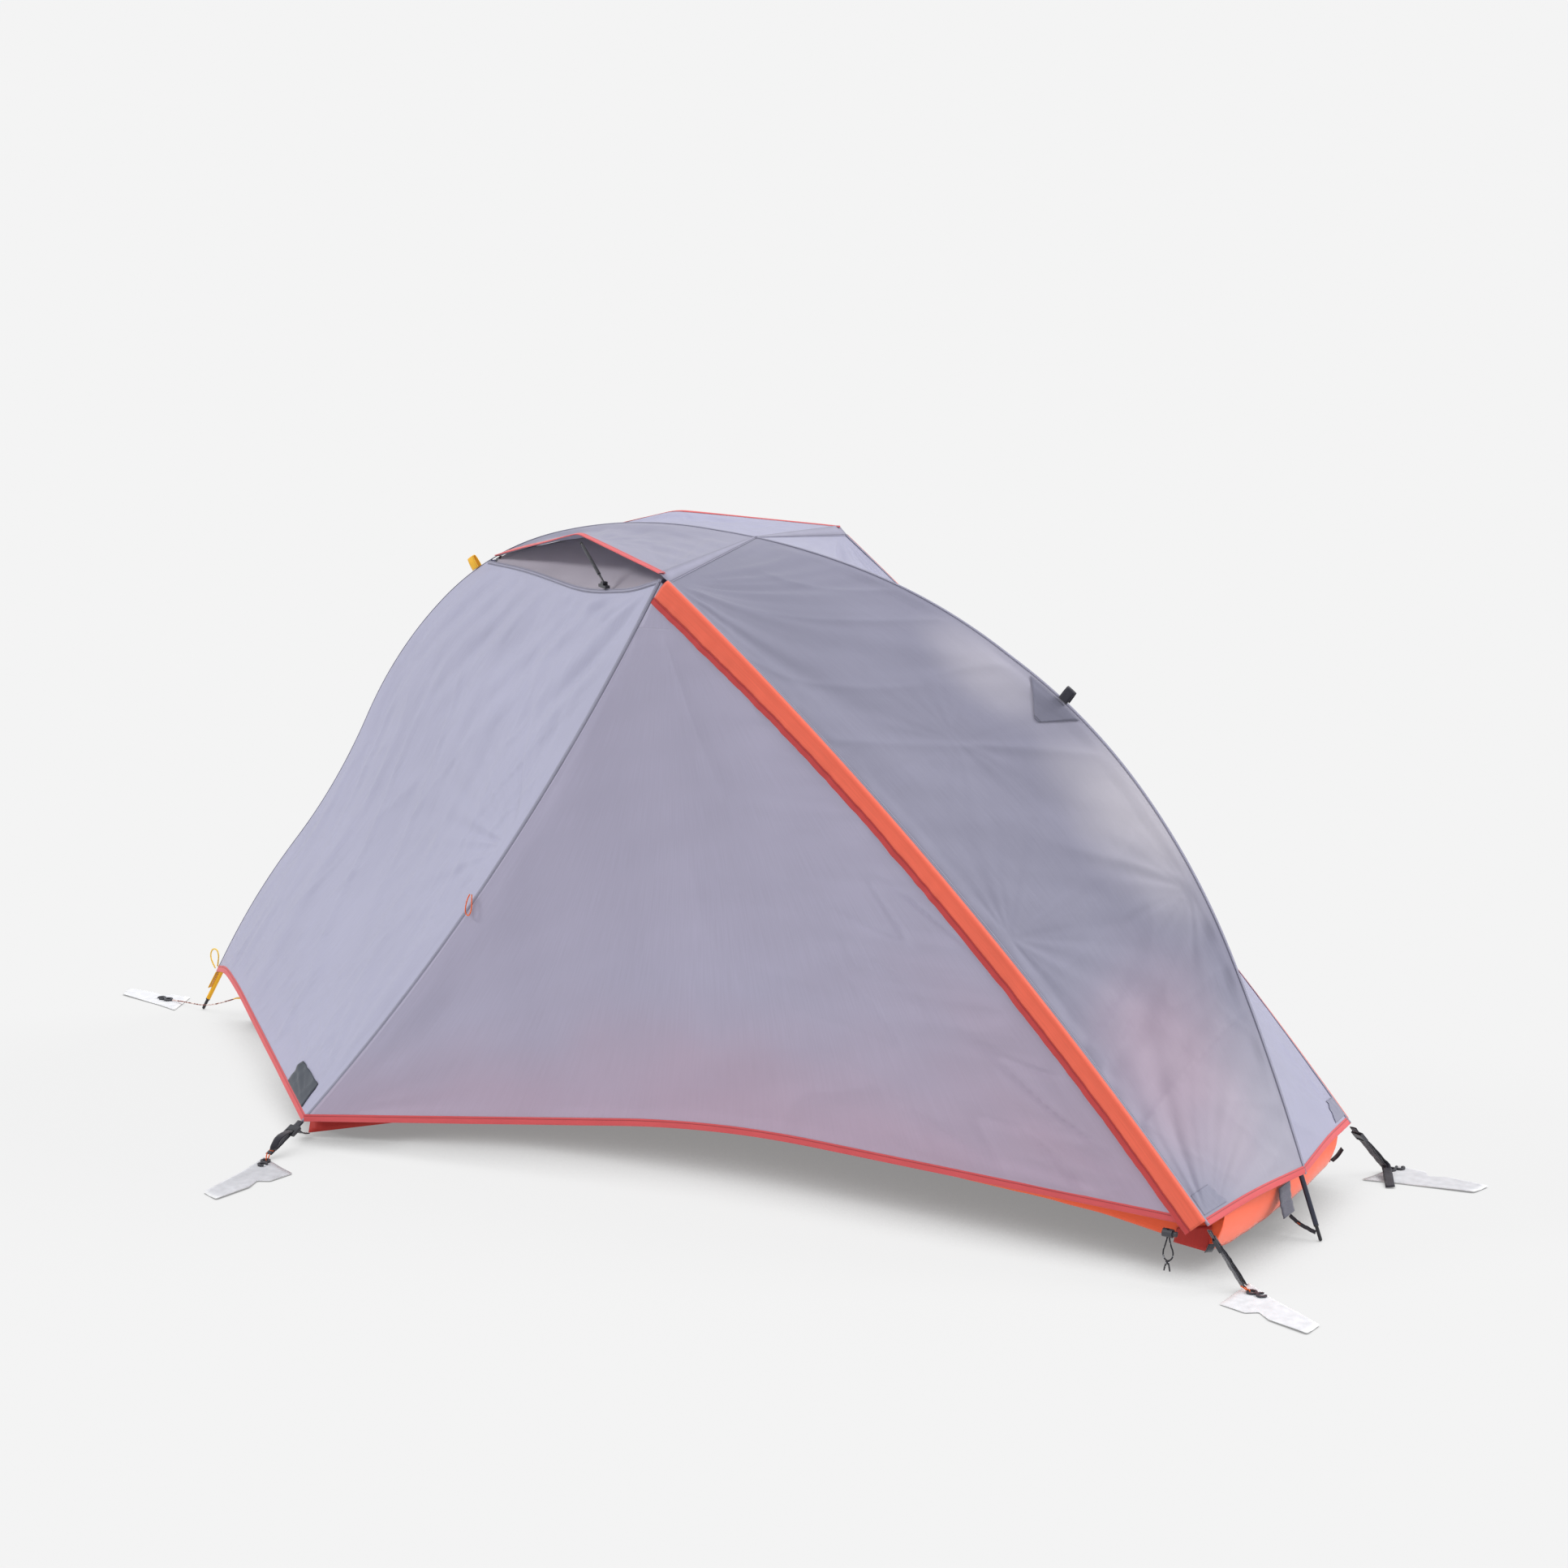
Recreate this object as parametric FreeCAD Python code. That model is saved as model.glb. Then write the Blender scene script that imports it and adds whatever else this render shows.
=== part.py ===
"""One-person hoop tent: one long arched pole, one short cross pole, a fly with two doors
and two roof vents, and a hanging inner tent with a bathtub floor.

Millimetres, +Z up. The tent is drawn with the foot of the head-end pole at X = 0 and its
own middle plane at Y = 0, and every solid is then moved by ORIGIN_X so that the origin
lies on the ground under the middle of the whole tent. "near" is the -Y side.
"""
import FreeCAD
import Part
import math
import os

V = FreeCAD.Vector

# ---------------------------------------------------------------- driving dimensions
ORIGIN_X = 1164.0        # from the foot of the head-end pole to the origin
POLE_R = 4.25            # long pole and cross pole: outer radius
POLE_BORE_R = 3.6
FERRULE_R = 3.5
FERRULE_BORE_R = 2.4
FERRULE_HALF = 38.0
SHOCK_CORD_R = 1.25
TIP_R = 3.0
TIP_LENGTH = 26.0
SLEEVE_R = 9.0           # fly cloth passes this far from the axis of the long pole
RIDGE_GAP = 2.4          # half the open joint between near and far cloth along the ridge
CLOTH = 1.0              # cloth thickness used for the solids
LAYER = 0.5              # air between two layers that lie on each other
SEAM_GAP = 1.5           # half the gap between neighbouring cut panels

# axis of the long pole in the middle plane, (x, z) where each section bends
POLE_BENDS = [
    (0, 3), (155, 255), (377, 512), (525, 786), (752, 995), (1054, 1075),
    (1393, 1055), (1667, 985), (1957, 816), (2154, 589), (2291, 300), (2400, 3),
]
CROSS_X = 1310.0         # where the cross pole passes under the long pole
CROSS_BENDS = [(-272, 1027), (-140, 1044), (140, 1044), (272, 1027)]
TOP_CORNER = V(1310, -289, 1039)     # where the cross pole's tip carries the fly
SHOULDER = V(692, -522, 45)          # fly corner at the widest place
FOOT_CORNER = V(2333, -286, 98)      # fly corner at the foot end
HEM_BEND = V(1485, -402, 144)        # door hem, its highest place
HEAD_HEM = [V(135, -85, 121), V(240, -170, 121), SHOULDER]
FOOT_HEM_MIDDLE = V(2350, -150, 117)
VENT_START = V(745, 0, 984)          # vent mouth begins here on the ridge
VENT_PEAK = V(1044, -155, 1073)      # highest place of the hood's edge
VENT_LIP = [V(880, -77, 984), V(1090, -195, 984), V(1230, -262, 1010)]
SEAM_BOW = V(33, 2, -21)  # how far the door seam bows from its chord, at its middle
ZIP_SAGITTA = 38.0       # how far the door's long edge bows out from its chord
ZIP_INSET = 15.0         # zip centre line inside the seam that carries the storm flap
DOOR_TOP_DROP = 92.0     # the door's cloth ends this far below its top corner
SEAM_LENGTH = (TOP_CORNER - SHOULDER).Length
FLAP_WIDTH = 36.0
BINDING_WIDTH = 14.0
HEM_WIDTH = 12.0

# bathtub floor: lower edge and upper edge of its near wall, from head to foot
FLOOR_EDGE = [V(140, -14, 26), V(420, -215, 40), V(666, -470, 6), V(1000, -335, 72),
              V(1400, -268, 108), V(1750, -262, 90), V(2100, -250, 76), V(2312, -238, 44)]
WALL_TOP = [V(150, -12, 78), V(420, -190, 112), V(655, -430, 88), V(1000, -330, 146),
            V(1400, -275, 176), V(1750, -262, 164), V(2100, -245, 150), V(2312, -222, 108)]
FLOOR_FLAT = 40.0        # half-width of the floor's level middle strip
FLOOR_LIFT = 30.0        # the strip leaves the ground at LIFT_FROM and hangs this high from LIFT_TO
LIFT_FROM, LIFT_TO = 780.0, 1200.0
ROWS = 17                # points up a cloth panel beside the pole
COLUMNS = 8              # points across it
HANG_DROP = 42.0         # inner tent's roof below the axis of the long pole

SAVED = {}


# ---------------------------------------------------------------- routes and tubes
class Route:
    """Straight runs joined by tangent arcs, measured along its length."""

    def __init__(self, points, share=0.45):
        self.pieces = []
        self.radii = []
        self.points = points
        start = points[0]
        for i in range(1, len(points) - 1):
            before, corner, after = points[i - 1], points[i], points[i + 1]
            to_corner = (corner - before).normalize()
            onward = (after - corner).normalize()
            turn = to_corner.getAngle(onward)
            if turn < 1e-4:
                continue
            reach = share * min((corner - before).Length, (after - corner).Length)
            radius = reach / math.tan(turn / 2)
            axis = to_corner.cross(onward).normalize()
            centre = corner - to_corner * reach + axis.cross(to_corner) * radius
            self._line(start, corner - to_corner * reach)
            self.pieces.append(("arc", centre, axis, corner - to_corner * reach, turn, radius * turn))
            self.radii.append(radius)
            start = corner + onward * reach
        self._line(start, points[-1])
        self.length = sum(piece[-1] for piece in self.pieces)

    def _line(self, start, end):
        length = (end - start).Length
        if length > 0.01:
            self.pieces.append(("line", start, (end - start).normalize(), None, 0, length))

    def _on(self, piece, distance):
        kind, first, direction, start, turn, length = piece
        if kind == "line":
            return first + direction * distance, direction
        arm = start - first
        angle = turn * distance / length
        turned = arm * math.cos(angle) + direction.cross(arm) * math.sin(angle)
        return first + turned, direction.cross(turned).normalize()

    def place(self, distance):
        """Point and direction at a distance from the start."""
        distance = min(max(distance, 0.0), self.length)
        for piece in self.pieces:
            if distance <= piece[-1] + 1e-6:
                return self._on(piece, min(distance, piece[-1]))
            distance -= piece[-1]
        return self._on(self.pieces[-1], self.pieces[-1][-1])

    def at(self, share):
        return self.place(share * self.length)[0]

    def wire(self, begin=0.0, end=None):
        """The stretch between two distances, as lines and arcs."""
        end = self.length if end is None else end
        edges = []
        passed = 0.0
        for piece in self.pieces:
            low = max(begin - passed, 0.0)
            high = min(end - passed, piece[-1])
            passed += piece[-1]
            if high - low < 0.02:
                continue
            first = self._on(piece, low)[0]
            last = self._on(piece, high)[0]
            if piece[0] == "line":
                edges.append(Part.LineSegment(first, last).toShape())
            else:
                middle = self._on(piece, (low + high) / 2)[0]
                edges.append(Part.Arc(first, middle, last).toShape())
        return Part.Wire(edges)


def rod(route, radius, begin=0.0, end=None):
    """Round solid along a stretch of a route."""
    start, direction = route.place(begin)
    ring = Part.Wire(Part.makeCircle(radius, start, direction))
    return route.wire(begin, end).makePipeShell([ring], True, False)


def tube(route, radius, bore, begin=0.0, end=None):
    return rod(route, radius, begin, end).cut(rod(route, bore, begin, end))


def far_side(shape):
    """The same piece on the other side of the tent."""
    return shape.mirror(V(0, 0, 0), V(0, 1, 0))


def flip(point):
    return V(point.x, -point.y, point.z)


def save(name, *shapes):
    solids = [solid for shape in shapes for solid in shape.Solids]
    whole = solids[0] if len(solids) == 1 else Part.makeCompound(solids)
    whole = whole.copy()
    whole.translate(V(-ORIGIN_X, 0, 0))
    whole.exportStep("parts/" + name + ".step")
    SAVED[name] = whole


# ---------------------------------------------------------------- cloth
def patch_point(side_a, side_b, low, high, u, v):
    """Coons patch: sides run low to high, low and high run from side_a to side_b."""
    along = side_a(u) * (1 - v) + side_b(u) * v
    across = low(v) * (1 - u) + high(v) * u
    corners = (side_a(0) * ((1 - u) * (1 - v)) + side_b(0) * ((1 - u) * v)
               + side_a(1) * (u * (1 - v)) + side_b(1) * (u * v))
    return along + across - corners


def spread(count, first=0.0, last=1.0):
    return [first + (last - first) * i / (count - 1) for i in range(count)]


def grid_normals(grid):
    normals = []
    last_row, last_col = len(grid) - 1, len(grid[0]) - 1
    for i, row in enumerate(grid):
        line = []
        for j in range(len(row)):
            along = grid[min(i + 1, last_row)][j] - grid[max(i - 1, 0)][j]
            across = grid[i][min(j + 1, last_col)] - grid[i][max(j - 1, 0)]
            line.append(across.cross(along).normalize())
        normals.append(line)
    return normals


def skin(grid, outside=0.0, inside=CLOTH):
    """Closed cloth solid between two offsets of a grid of points. The grid's rows run up
    and its columns run so that columns x rows points out of the tent."""
    normals = grid_normals(grid)
    rows, cols = len(grid), len(grid[0])
    points = []
    for offset in (outside, -inside):
        for i in range(rows):
            for j in range(cols):
                points.append(grid[i][j] + normals[i][j] * offset)
    lower = rows * cols

    def index(i, j):
        return i * cols + j

    facets = []
    for i in range(rows - 1):
        for j in range(cols - 1):
            a, b, c, d = index(i, j), index(i, j + 1), index(i + 1, j + 1), index(i + 1, j)
            facets += [(a, b, c), (a, c, d)]
            facets += [(a + lower, c + lower, b + lower), (a + lower, d + lower, c + lower)]
    rim = [index(0, j) for j in range(cols)] + [index(i, cols - 1) for i in range(1, rows)]
    rim += [index(rows - 1, j) for j in range(cols - 2, -1, -1)]
    rim += [index(i, 0) for i in range(rows - 2, 0, -1)]
    for a, b in zip(rim, rim[1:] + rim[:1]):
        facets += [(b, a, a + lower), (b, a + lower, b + lower)]
    shell = Part.Shape()
    shell.makeShapeFromMesh((points, facets), 0.001)
    solid = Part.Solid(shell.Shells[0])
    if solid.Volume < 0:
        solid.reverse()
    return solid


def outward_at(distance):
    """Point on the long pole's axis, and the direction away from the tent there."""
    axis_point, along = POLE.place(distance)
    return axis_point, along.cross(V(0, 1, 0))


def ridge_edge(distance, target):
    """Where cloth that runs from the ridge to target leaves the round of the long pole."""
    axis_point, outward = outward_at(distance)
    aim = target - axis_point
    slope = math.atan2(-aim.dot(outward), -aim.y)
    slope = min(max(slope, 0.0), math.radians(80))
    return axis_point + outward * (SLEEVE_R * math.cos(slope)) - V(0, 1, 0) * (SLEEVE_R * math.sin(slope))


def ridge_top(distance):
    axis_point, outward = outward_at(distance)
    return axis_point + outward * SLEEVE_R - V(0, RIDGE_GAP, 0)


def pole_distance(x):
    """Length along the long pole to the place with this X."""
    low, high = 0.0, POLE.length
    for _ in range(50):
        middle = (low + high) / 2
        if POLE.place(middle)[0].x < x:
            low = middle
        else:
            high = middle
    return low


def ribbon(path, width, side, thickness=1.2):
    """Flat webbing along a flat path. side is the direction of its width."""
    side = V(side).normalize()
    upper, lower = [], []
    for i, point in enumerate(path):
        before = (point - path[i - 1]).normalize() if i else None
        after = (path[i + 1] - point).normalize() if i + 1 < len(path) else None
        directions = [d for d in (before, after) if d is not None]
        mean = directions[0] if len(directions) == 1 else (directions[0] + directions[1]).normalize()
        normal = side.cross(mean).normalize()
        stretch = 1 / max(mean.dot(directions[0]), 0.5)
        upper.append(point + normal * (thickness / 2 * stretch) - side * (width / 2))
        lower.append(point - normal * (thickness / 2 * stretch) - side * (width / 2))
    outline = upper + lower[::-1]
    face = Part.Face(Part.makePolygon(outline + outline[:1]))
    return face.extrude(side * width)


def box_along(centre, along, up, length, width, height):
    """Block centred on a point, its length along one direction."""
    along = V(along).normalize()
    side = V(up).cross(along).normalize()
    top = along.cross(side).normalize()
    corner = centre - along * (length / 2) - side * (width / 2) - top * (height / 2)
    block = Part.makeBox(length, width, height)
    matrix = FreeCAD.Matrix(along.x, side.x, top.x, corner.x, along.y, side.y, top.y, corner.y,
                            along.z, side.z, top.z, corner.z, 0, 0, 0, 1)
    return block.transformGeometry(matrix)


# ---------------------------------------------------------------- poles
POLE = Route([V(x, 0, z) for x, z in POLE_BENDS], 0.5)
CROSS_POLE = Route([V(CROSS_X, y, z) for y, z in CROSS_BENDS], 0.5)


def pole_joints():
    """Lengths along the long pole where one section plugs into the next."""
    joints = []
    for i in range(1, len(POLE_BENDS) - 2):
        first, second = POLE.points[i], POLE.points[i + 1]
        joints.append(pole_distance((first.x + second.x) / 2))
    return joints


def make_poles():
    joints = pole_joints()
    gap = 0.3
    save("pole_head_section", tube(POLE, POLE_R, POLE_BORE_R, TIP_LENGTH, joints[0] - gap))
    middle = [tube(POLE, POLE_R, POLE_BORE_R, a + gap, b - gap) for a, b in zip(joints, joints[1:])]
    save("pole_mid_sections", *middle)
    foot_end = POLE.length - TIP_LENGTH
    save("pole_foot_section", tube(POLE, POLE_R, POLE_BORE_R, joints[-1] + gap, foot_end))
    ferrules = [tube(POLE, FERRULE_R, FERRULE_BORE_R, s - FERRULE_HALF, s + FERRULE_HALF) for s in joints]
    save("pole_ferrules", *ferrules)
    cord_inset = TIP_LENGTH + 18
    save("pole_shock_cord", rod(POLE, SHOCK_CORD_R, cord_inset, POLE.length - cord_inset))
    save("pole_head_tip", pole_tip(POLE, 0.0, 1))
    save("pole_foot_tip", pole_tip(POLE, POLE.length, -1))
    cross_tip = 20.0
    save("cross_pole", tube(CROSS_POLE, POLE_R, POLE_BORE_R, cross_tip, CROSS_POLE.length - cross_tip))
    near_tip = cross_pole_tip(CROSS_POLE, 0.0, 1, cross_tip)
    save("cross_pole_tips", near_tip, far_side(near_tip))
    save("pole_hub_clip", hub_clip())


def pole_tip(route, distance, way):
    """Ball-ended ground tip with a spigot inside the tube and a stop collar."""
    start, direction = route.place(distance)
    direction = direction * way
    body = Part.makeSphere(TIP_R, start)
    body = body.fuse(Part.makeCylinder(TIP_R, TIP_LENGTH - 3, start, direction))
    collar = Part.makeCylinder(POLE_R, 3 - 0.2, start + direction * (TIP_LENGTH - 3), direction)
    spigot = Part.makeCylinder(POLE_BORE_R - 0.1, 15, start + direction * (TIP_LENGTH - 0.2), direction)
    return body.fuse(collar).fuse(spigot).removeSplitter()


def cross_pole_tip(route, distance, way, length):
    start, direction = route.place(distance)
    direction = direction * way
    body = Part.makeSphere(TIP_R + 1, start)
    body = body.fuse(Part.makeCylinder(TIP_R, length - 0.2, start, direction))
    spigot = Part.makeCylinder(POLE_BORE_R - 0.1, 12, start + direction * (length - 0.2), direction)
    return body.fuse(spigot).removeSplitter()


def hub_clip():
    """Moulded saddle that ties the cross pole under the long pole."""
    long_axis, along = POLE.place(pole_distance(CROSS_X))
    short_axis = CROSS_POLE.at(0.5)
    middle = (long_axis + short_axis) / 2
    height = long_axis.z - short_axis.z
    block = box_along(middle, V(1, 0, 0), V(0, 0, 1), 26, 26, height + 2 * POLE_R - 3)
    grip = POLE_R + 0.35
    block = block.cut(Part.makeCylinder(grip, 60, long_axis - along * 30, along))
    return block.cut(Part.makeCylinder(grip, 60, short_axis - V(0, 30, 0), V(0, 1, 0)))


# ---------------------------------------------------------------- door edge: one flat arc
CHORD = FOOT_CORNER - TOP_CORNER
ARC_Y = (TOP_CORNER.y + FOOT_CORNER.y) / 2
CHORD_LENGTH = math.hypot(CHORD.x, CHORD.z)
ARC_R = CHORD_LENGTH ** 2 / (8 * ZIP_SAGITTA) + ZIP_SAGITTA / 2
ARC_OUT = V(-CHORD.z, 0, CHORD.x) * (1 / CHORD_LENGTH)
ARC_MIDDLE = (TOP_CORNER + FOOT_CORNER) * 0.5 + ARC_OUT * ZIP_SAGITTA
ARC_CENTRE = V(ARC_MIDDLE.x, ARC_Y, ARC_MIDDLE.z) - ARC_OUT * ARC_R
ARC_HALF = math.asin(CHORD_LENGTH / 2 / ARC_R)


def arc_point(inset, share, y=ARC_Y):
    """Point on an arc inside the door's edge. share runs from the top to the foot."""
    angle = ARC_HALF * (2 * share - 1)
    radius = ARC_R - inset
    turned = ARC_OUT * math.cos(angle) + ARC_OUT.cross(V(0, -1, 0)) * math.sin(angle)
    point = ARC_CENTRE + turned * radius
    return V(point.x, y, point.z)


def arc_strip(profile, begin, end):
    """Solid of one cross-section, (inset, y) corners, carried round the door's edge."""
    corners = [arc_point(inset, begin, y) for inset, y in profile]
    face = Part.Face(Part.makePolygon(corners + corners[:1]))
    sweep = math.degrees(2 * ARC_HALF * (end - begin))
    return face.revolve(ARC_CENTRE, V(0, 1, 0), sweep)


def rectangle(inset_a, inset_b, y_a, y_b):
    return [(inset_a, y_a), (inset_b, y_a), (inset_b, y_b), (inset_a, y_b)]


# ---------------------------------------------------------------- fly panels, near side
HEAD_START_S, FOOT_END_S = pole_distance(50), pole_distance(2361)
VENT_START_S, CROSS_S = pole_distance(VENT_START.x), pole_distance(CROSS_X)


def straight(first, last):
    return lambda t: first + (last - first) * t


def bowed(first, last, bow):
    """Shallow parabola between two points, with this offset at its middle."""
    return lambda t: first + (last - first) * t + bow * (4 * t * (1 - t))


def shift(point, toward, amount):
    return point + (toward - point).normalize() * amount


def ridge_side(begin, end, opposite):
    """Ridge edge of a panel, as a function, between two distances along the pole."""
    return lambda t: ridge_edge(begin + (end - begin) * t, opposite(t))


def cloth_grid(side_a, side_b, low, high, ups, acrosses, ridge=None):
    """Grid over a patch. ridge gives the wrap over the pole's top as a first column."""
    grid = []
    for u in ups:
        row = [ridge(u)] if ridge else []
        row += [patch_point(side_a, side_b, low, high, u, v) for v in acrosses]
        grid.append(row)
    return grid


def head_panel():
    """Curves of the panel between the ridge, the head hem, the door seam and the vent lip."""
    seam_low = shift(SHOULDER, V(400, -290, 80), SEAM_GAP)
    seam = bowed(seam_low, shift(TOP_CORNER, V(1240, -262, 1010), 6), SEAM_BOW)
    ridge = ridge_side(HEAD_START_S, VENT_START_S, seam)
    hem = Route([ridge(0)] + HEAD_HEM[:-1] + [seam_low])
    lip = Route([ridge(1)] + VENT_LIP + [seam(1)])
    return ridge, seam, hem.at, lip.at


def foot_panel():
    """Curves of the panel between the foot hem, the storm flap's seam and the cross pole."""
    zip_side = lambda t: arc_point(-SEAM_GAP, 0.994 - 0.985 * t)
    ridge = ridge_side(FOOT_END_S, CROSS_S + 2, zip_side)
    hem = Route([ridge(0), FOOT_HEM_MIDDLE, zip_side(0)])
    return ridge, zip_side, hem.at, straight(ridge(1), zip_side(1))


def vent_hood():
    """Curves of the hood: ridge side, free edge over its peak, and the cross-pole line."""
    tip = TOP_CORNER + V(-4, -2, 8)
    edge = Route([VENT_START + V(12, -11, 4), VENT_PEAK, tip], 0.06)
    ridge = ridge_side(VENT_START_S + 14, CROSS_S - 2, edge.at)
    return ridge, edge.at, straight(ridge(0), edge.at(0)), straight(ridge(1), tip)


def door_panel():
    """Curves of the door: hinge seam, zip edge, hem and its short top."""
    low, high = 40 / SEAM_LENGTH, 1 - DOOR_TOP_DROP / SEAM_LENGTH
    whole = bowed(SHOULDER, TOP_CORNER, SEAM_BOW)
    seam = lambda t: whole(low + (high - low) * t) + V(6, -1, 0)
    zip_side = lambda t: arc_point(ZIP_INSET + 7.5, 0.982 - 0.905 * t)
    hem = Route([seam(0), HEM_BEND + V(0, 0, 4), zip_side(0)])
    return seam, zip_side, hem.at, straight(seam(1), zip_side(1))


def reverse_columns(grid):
    return [row[::-1] for row in grid]


def make_fly():
    for name, curves, wrap, columns in (
            ("head_panel", head_panel(), (HEAD_START_S, VENT_START_S), spread(COLUMNS)),
            ("foot_panel", foot_panel(), (FOOT_END_S, CROSS_S + 2), spread(COLUMNS)),
            ("vent_hood", vent_hood(), (VENT_START_S + 14, CROSS_S - 2), spread(6))):
        top = lambda u, wrap=wrap: ridge_top(wrap[0] + (wrap[1] - wrap[0]) * u)
        grid = cloth_grid(*curves, spread(ROWS), columns, top)
        if name == "foot_panel":
            grid = reverse_columns(grid)
        cloth = skin(grid)
        save("near_" + name, cloth)
        save("far_" + name, far_side(cloth))
    door = skin(cloth_grid(*door_panel(), spread(COLUMNS), spread(COLUMNS)))
    save("near_door_panel", door)
    save("far_door_panel", far_side(door))


def edge_tape(curve, inner_curve, shares, lift=LAYER):
    """Flat tape along a panel's edge, lying on the cloth's outer face."""
    grid = []
    for t in shares:
        edge = curve(t)
        grid.append([shift(edge, inner_curve(t), HEM_WIDTH), edge])
    return skin(grid, lift + CLOTH, -lift)


def make_hems():
    """Sewn tapes: fixed hems at head and foot, vent edges, flap bindings, and door hems."""
    ridge, seam, hem, lip = head_panel()
    inner = lambda t: patch_point(ridge, seam, hem, lip, 0.1, t)
    head = edge_tape(hem, inner, spread(COLUMNS))
    ridge, zip_side, hem, top = foot_panel()
    inner_foot = lambda t: patch_point(ridge, zip_side, hem, top, 0.1, t)
    foot = edge_tape(lambda t: hem(1 - t), lambda t: inner_foot(1 - t), spread(COLUMNS), 1.2)
    ridge, edge, start, end = vent_hood()
    inner_hood = lambda t: patch_point(ridge, edge, start, end, t, 0.5)
    vent = edge_tape(edge, inner_hood, spread(ROWS)[1:], 1.2)
    outer = ARC_Y - 12.6
    binding = arc_strip(rectangle(FLAP_WIDTH - BINDING_WIDTH, FLAP_WIDTH, outer - CLOTH, outer), 0.012, 0.985)
    parts = [head, foot, vent, binding]
    save("fly_bindings", *parts, *[far_side(part) for part in parts])
    seam, zip_side, hem, top = door_panel()
    inner_door = lambda t: patch_point(seam, zip_side, hem, top, 0.1, t)
    door = edge_tape(hem, inner_door, spread(COLUMNS))
    save("near_door_hem", door)
    save("far_door_hem", far_side(door))


def make_flap_and_zip():
    """Storm flap over the zip, the zip's two halves, its slider and the slider's pull."""
    y = ARC_Y
    flap_profile = [(1.5, y - 2.0), (4.0, y - 10.0), (FLAP_WIDTH, y - 11.2), (FLAP_WIDTH, y - 12.2),
                    (3.2, y - 11.2), (0.5, y - 2.4)]
    flap = arc_strip(flap_profile, 0.01, 0.987)
    save("near_storm_flap", flap)
    save("far_storm_flap", far_side(flap))
    tooth, tape = 0.6, 6.5
    begin, end = 0.085, 0.978
    fly_half = arc_strip(rectangle(ZIP_INSET - tape, ZIP_INSET - tooth, y - 1.4, y + 1.4), begin, end)
    save("zip_fly_halves", fly_half, far_side(fly_half))
    door_half = arc_strip(rectangle(ZIP_INSET + tooth, ZIP_INSET + tape, y - 1.4, y + 1.4), begin, end)
    save("near_zip_door_half", door_half)
    save("far_zip_door_half", far_side(door_half))
    low, high = 0.962, 0.973
    outer = arc_strip(rectangle(ZIP_INSET - 4.5, ZIP_INSET + 4.5, y - 3.6, y - 1.8), low, high)
    inner = arc_strip(rectangle(ZIP_INSET - 4.5, ZIP_INSET + 4.5, y + 1.8, y + 3.2), low, high)
    neck = arc_strip(rectangle(ZIP_INSET - 0.25, ZIP_INSET + 0.25, y - 2.0, y + 2.0), low + 0.001, high - 0.004)
    pivot = arc_point(ZIP_INSET, (low + high) / 2, y - 5.2)
    boss = Part.makeCylinder(1.5, 4.6, pivot - V(0, 1.2, 0), V(0, 1, 0))
    slider = outer.fuse(inner).fuse(neck).fuse(boss)
    save("near_zip_slider", slider)
    save("far_zip_slider", far_side(slider))
    pull = Part.makeCylinder(4.0, 1.2, pivot, V(0, 1, 0))
    tail = box_along(pivot + V(0, 0.6, -17), V(0, 0, -1), V(0, 1, 0), 26, 6, 1.2)
    eye = Part.makeCylinder(1.6, 6, pivot + V(0, -2, -26), V(0, 1, 0))
    bore = Part.makeCylinder(1.6, 6, pivot - V(0, 2, 0), V(0, 1, 0))
    pull = pull.fuse(tail).cut(eye).cut(bore).removeSplitter()
    save("near_zip_pull", pull)
    save("far_zip_pull", far_side(pull))
    print("zip hinge centre", round(ARC_CENTRE.x - ORIGIN_X, 2), round(y, 2), round(ARC_CENTRE.z, 2))
    print("zip travel deg", round(math.degrees(2 * ARC_HALF) * (low - begin - 0.01), 2))
    print("zip pull pivot", round(pivot.x - ORIGIN_X, 2), round(pivot.y, 2), round(pivot.z, 2))


def make_vents():
    """Mesh under each hood, and the folding stick that props the hood open."""
    under = 17.0
    lip = head_panel()[3]
    drop = V(0, 0, -under)
    ridge, edge, start, end = vent_hood()
    roof = lambda t: ridge(0.12 + 0.83 * t) + drop + V(0, -6, 0)
    low_side = lambda t: lip(0.1 + 0.83 * t) + V(0, 5, -3)
    grid = cloth_grid(roof, low_side, straight(roof(0), low_side(0)), straight(roof(1), low_side(1)),
                      spread(8), spread(5))
    mesh = skin(grid, 0.0, 0.8)
    save("vent_mesh", mesh, far_side(mesh))
    base = box_along(PROP_FOOT + V(0, 0, -5.5), PROP_ALONG, V(0, 0, 1), 26, 9, 5)
    ears = [box_along(PROP_FOOT + PROP_AXIS * (k * 3.6) + V(0, 0, -1.2), PROP_ALONG, V(0, 0, 1), 9, 2, 7)
            for k in (-1, 1)]
    base = base.fuse(ears[0]).fuse(ears[1]).removeSplitter()
    save("vent_prop_bases", base, far_side(base))
    stick = Route([PROP_FOOT, PROP_TOP])
    shaft = rod(stick, 1.7)
    knuckle = Part.makeCylinder(2.6, 4.6, PROP_FOOT - PROP_AXIS * 2.3, PROP_AXIS)
    cap = Part.makeSphere(2.6, PROP_TOP)
    stick_solid = shaft.fuse(knuckle).fuse(cap)
    save("near_vent_prop", stick_solid)
    save("far_vent_prop", far_side(stick_solid))
    print("vent prop pivot", [round(n, 3) for n in (PROP_FOOT.x - ORIGIN_X, PROP_FOOT.y, PROP_FOOT.z)],
          "axis", [round(n, 4) for n in PROP_AXIS])


PROP_FOOT = V(1146, -223, 1006)
PROP_TOP = V(1070, -181, 1062)
PROP_ALONG = V(PROP_TOP.x - PROP_FOOT.x, PROP_TOP.y - PROP_FOOT.y, 0).normalize()
PROP_AXIS = V(0, 0, 1).cross(PROP_ALONG).normalize()


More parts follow.
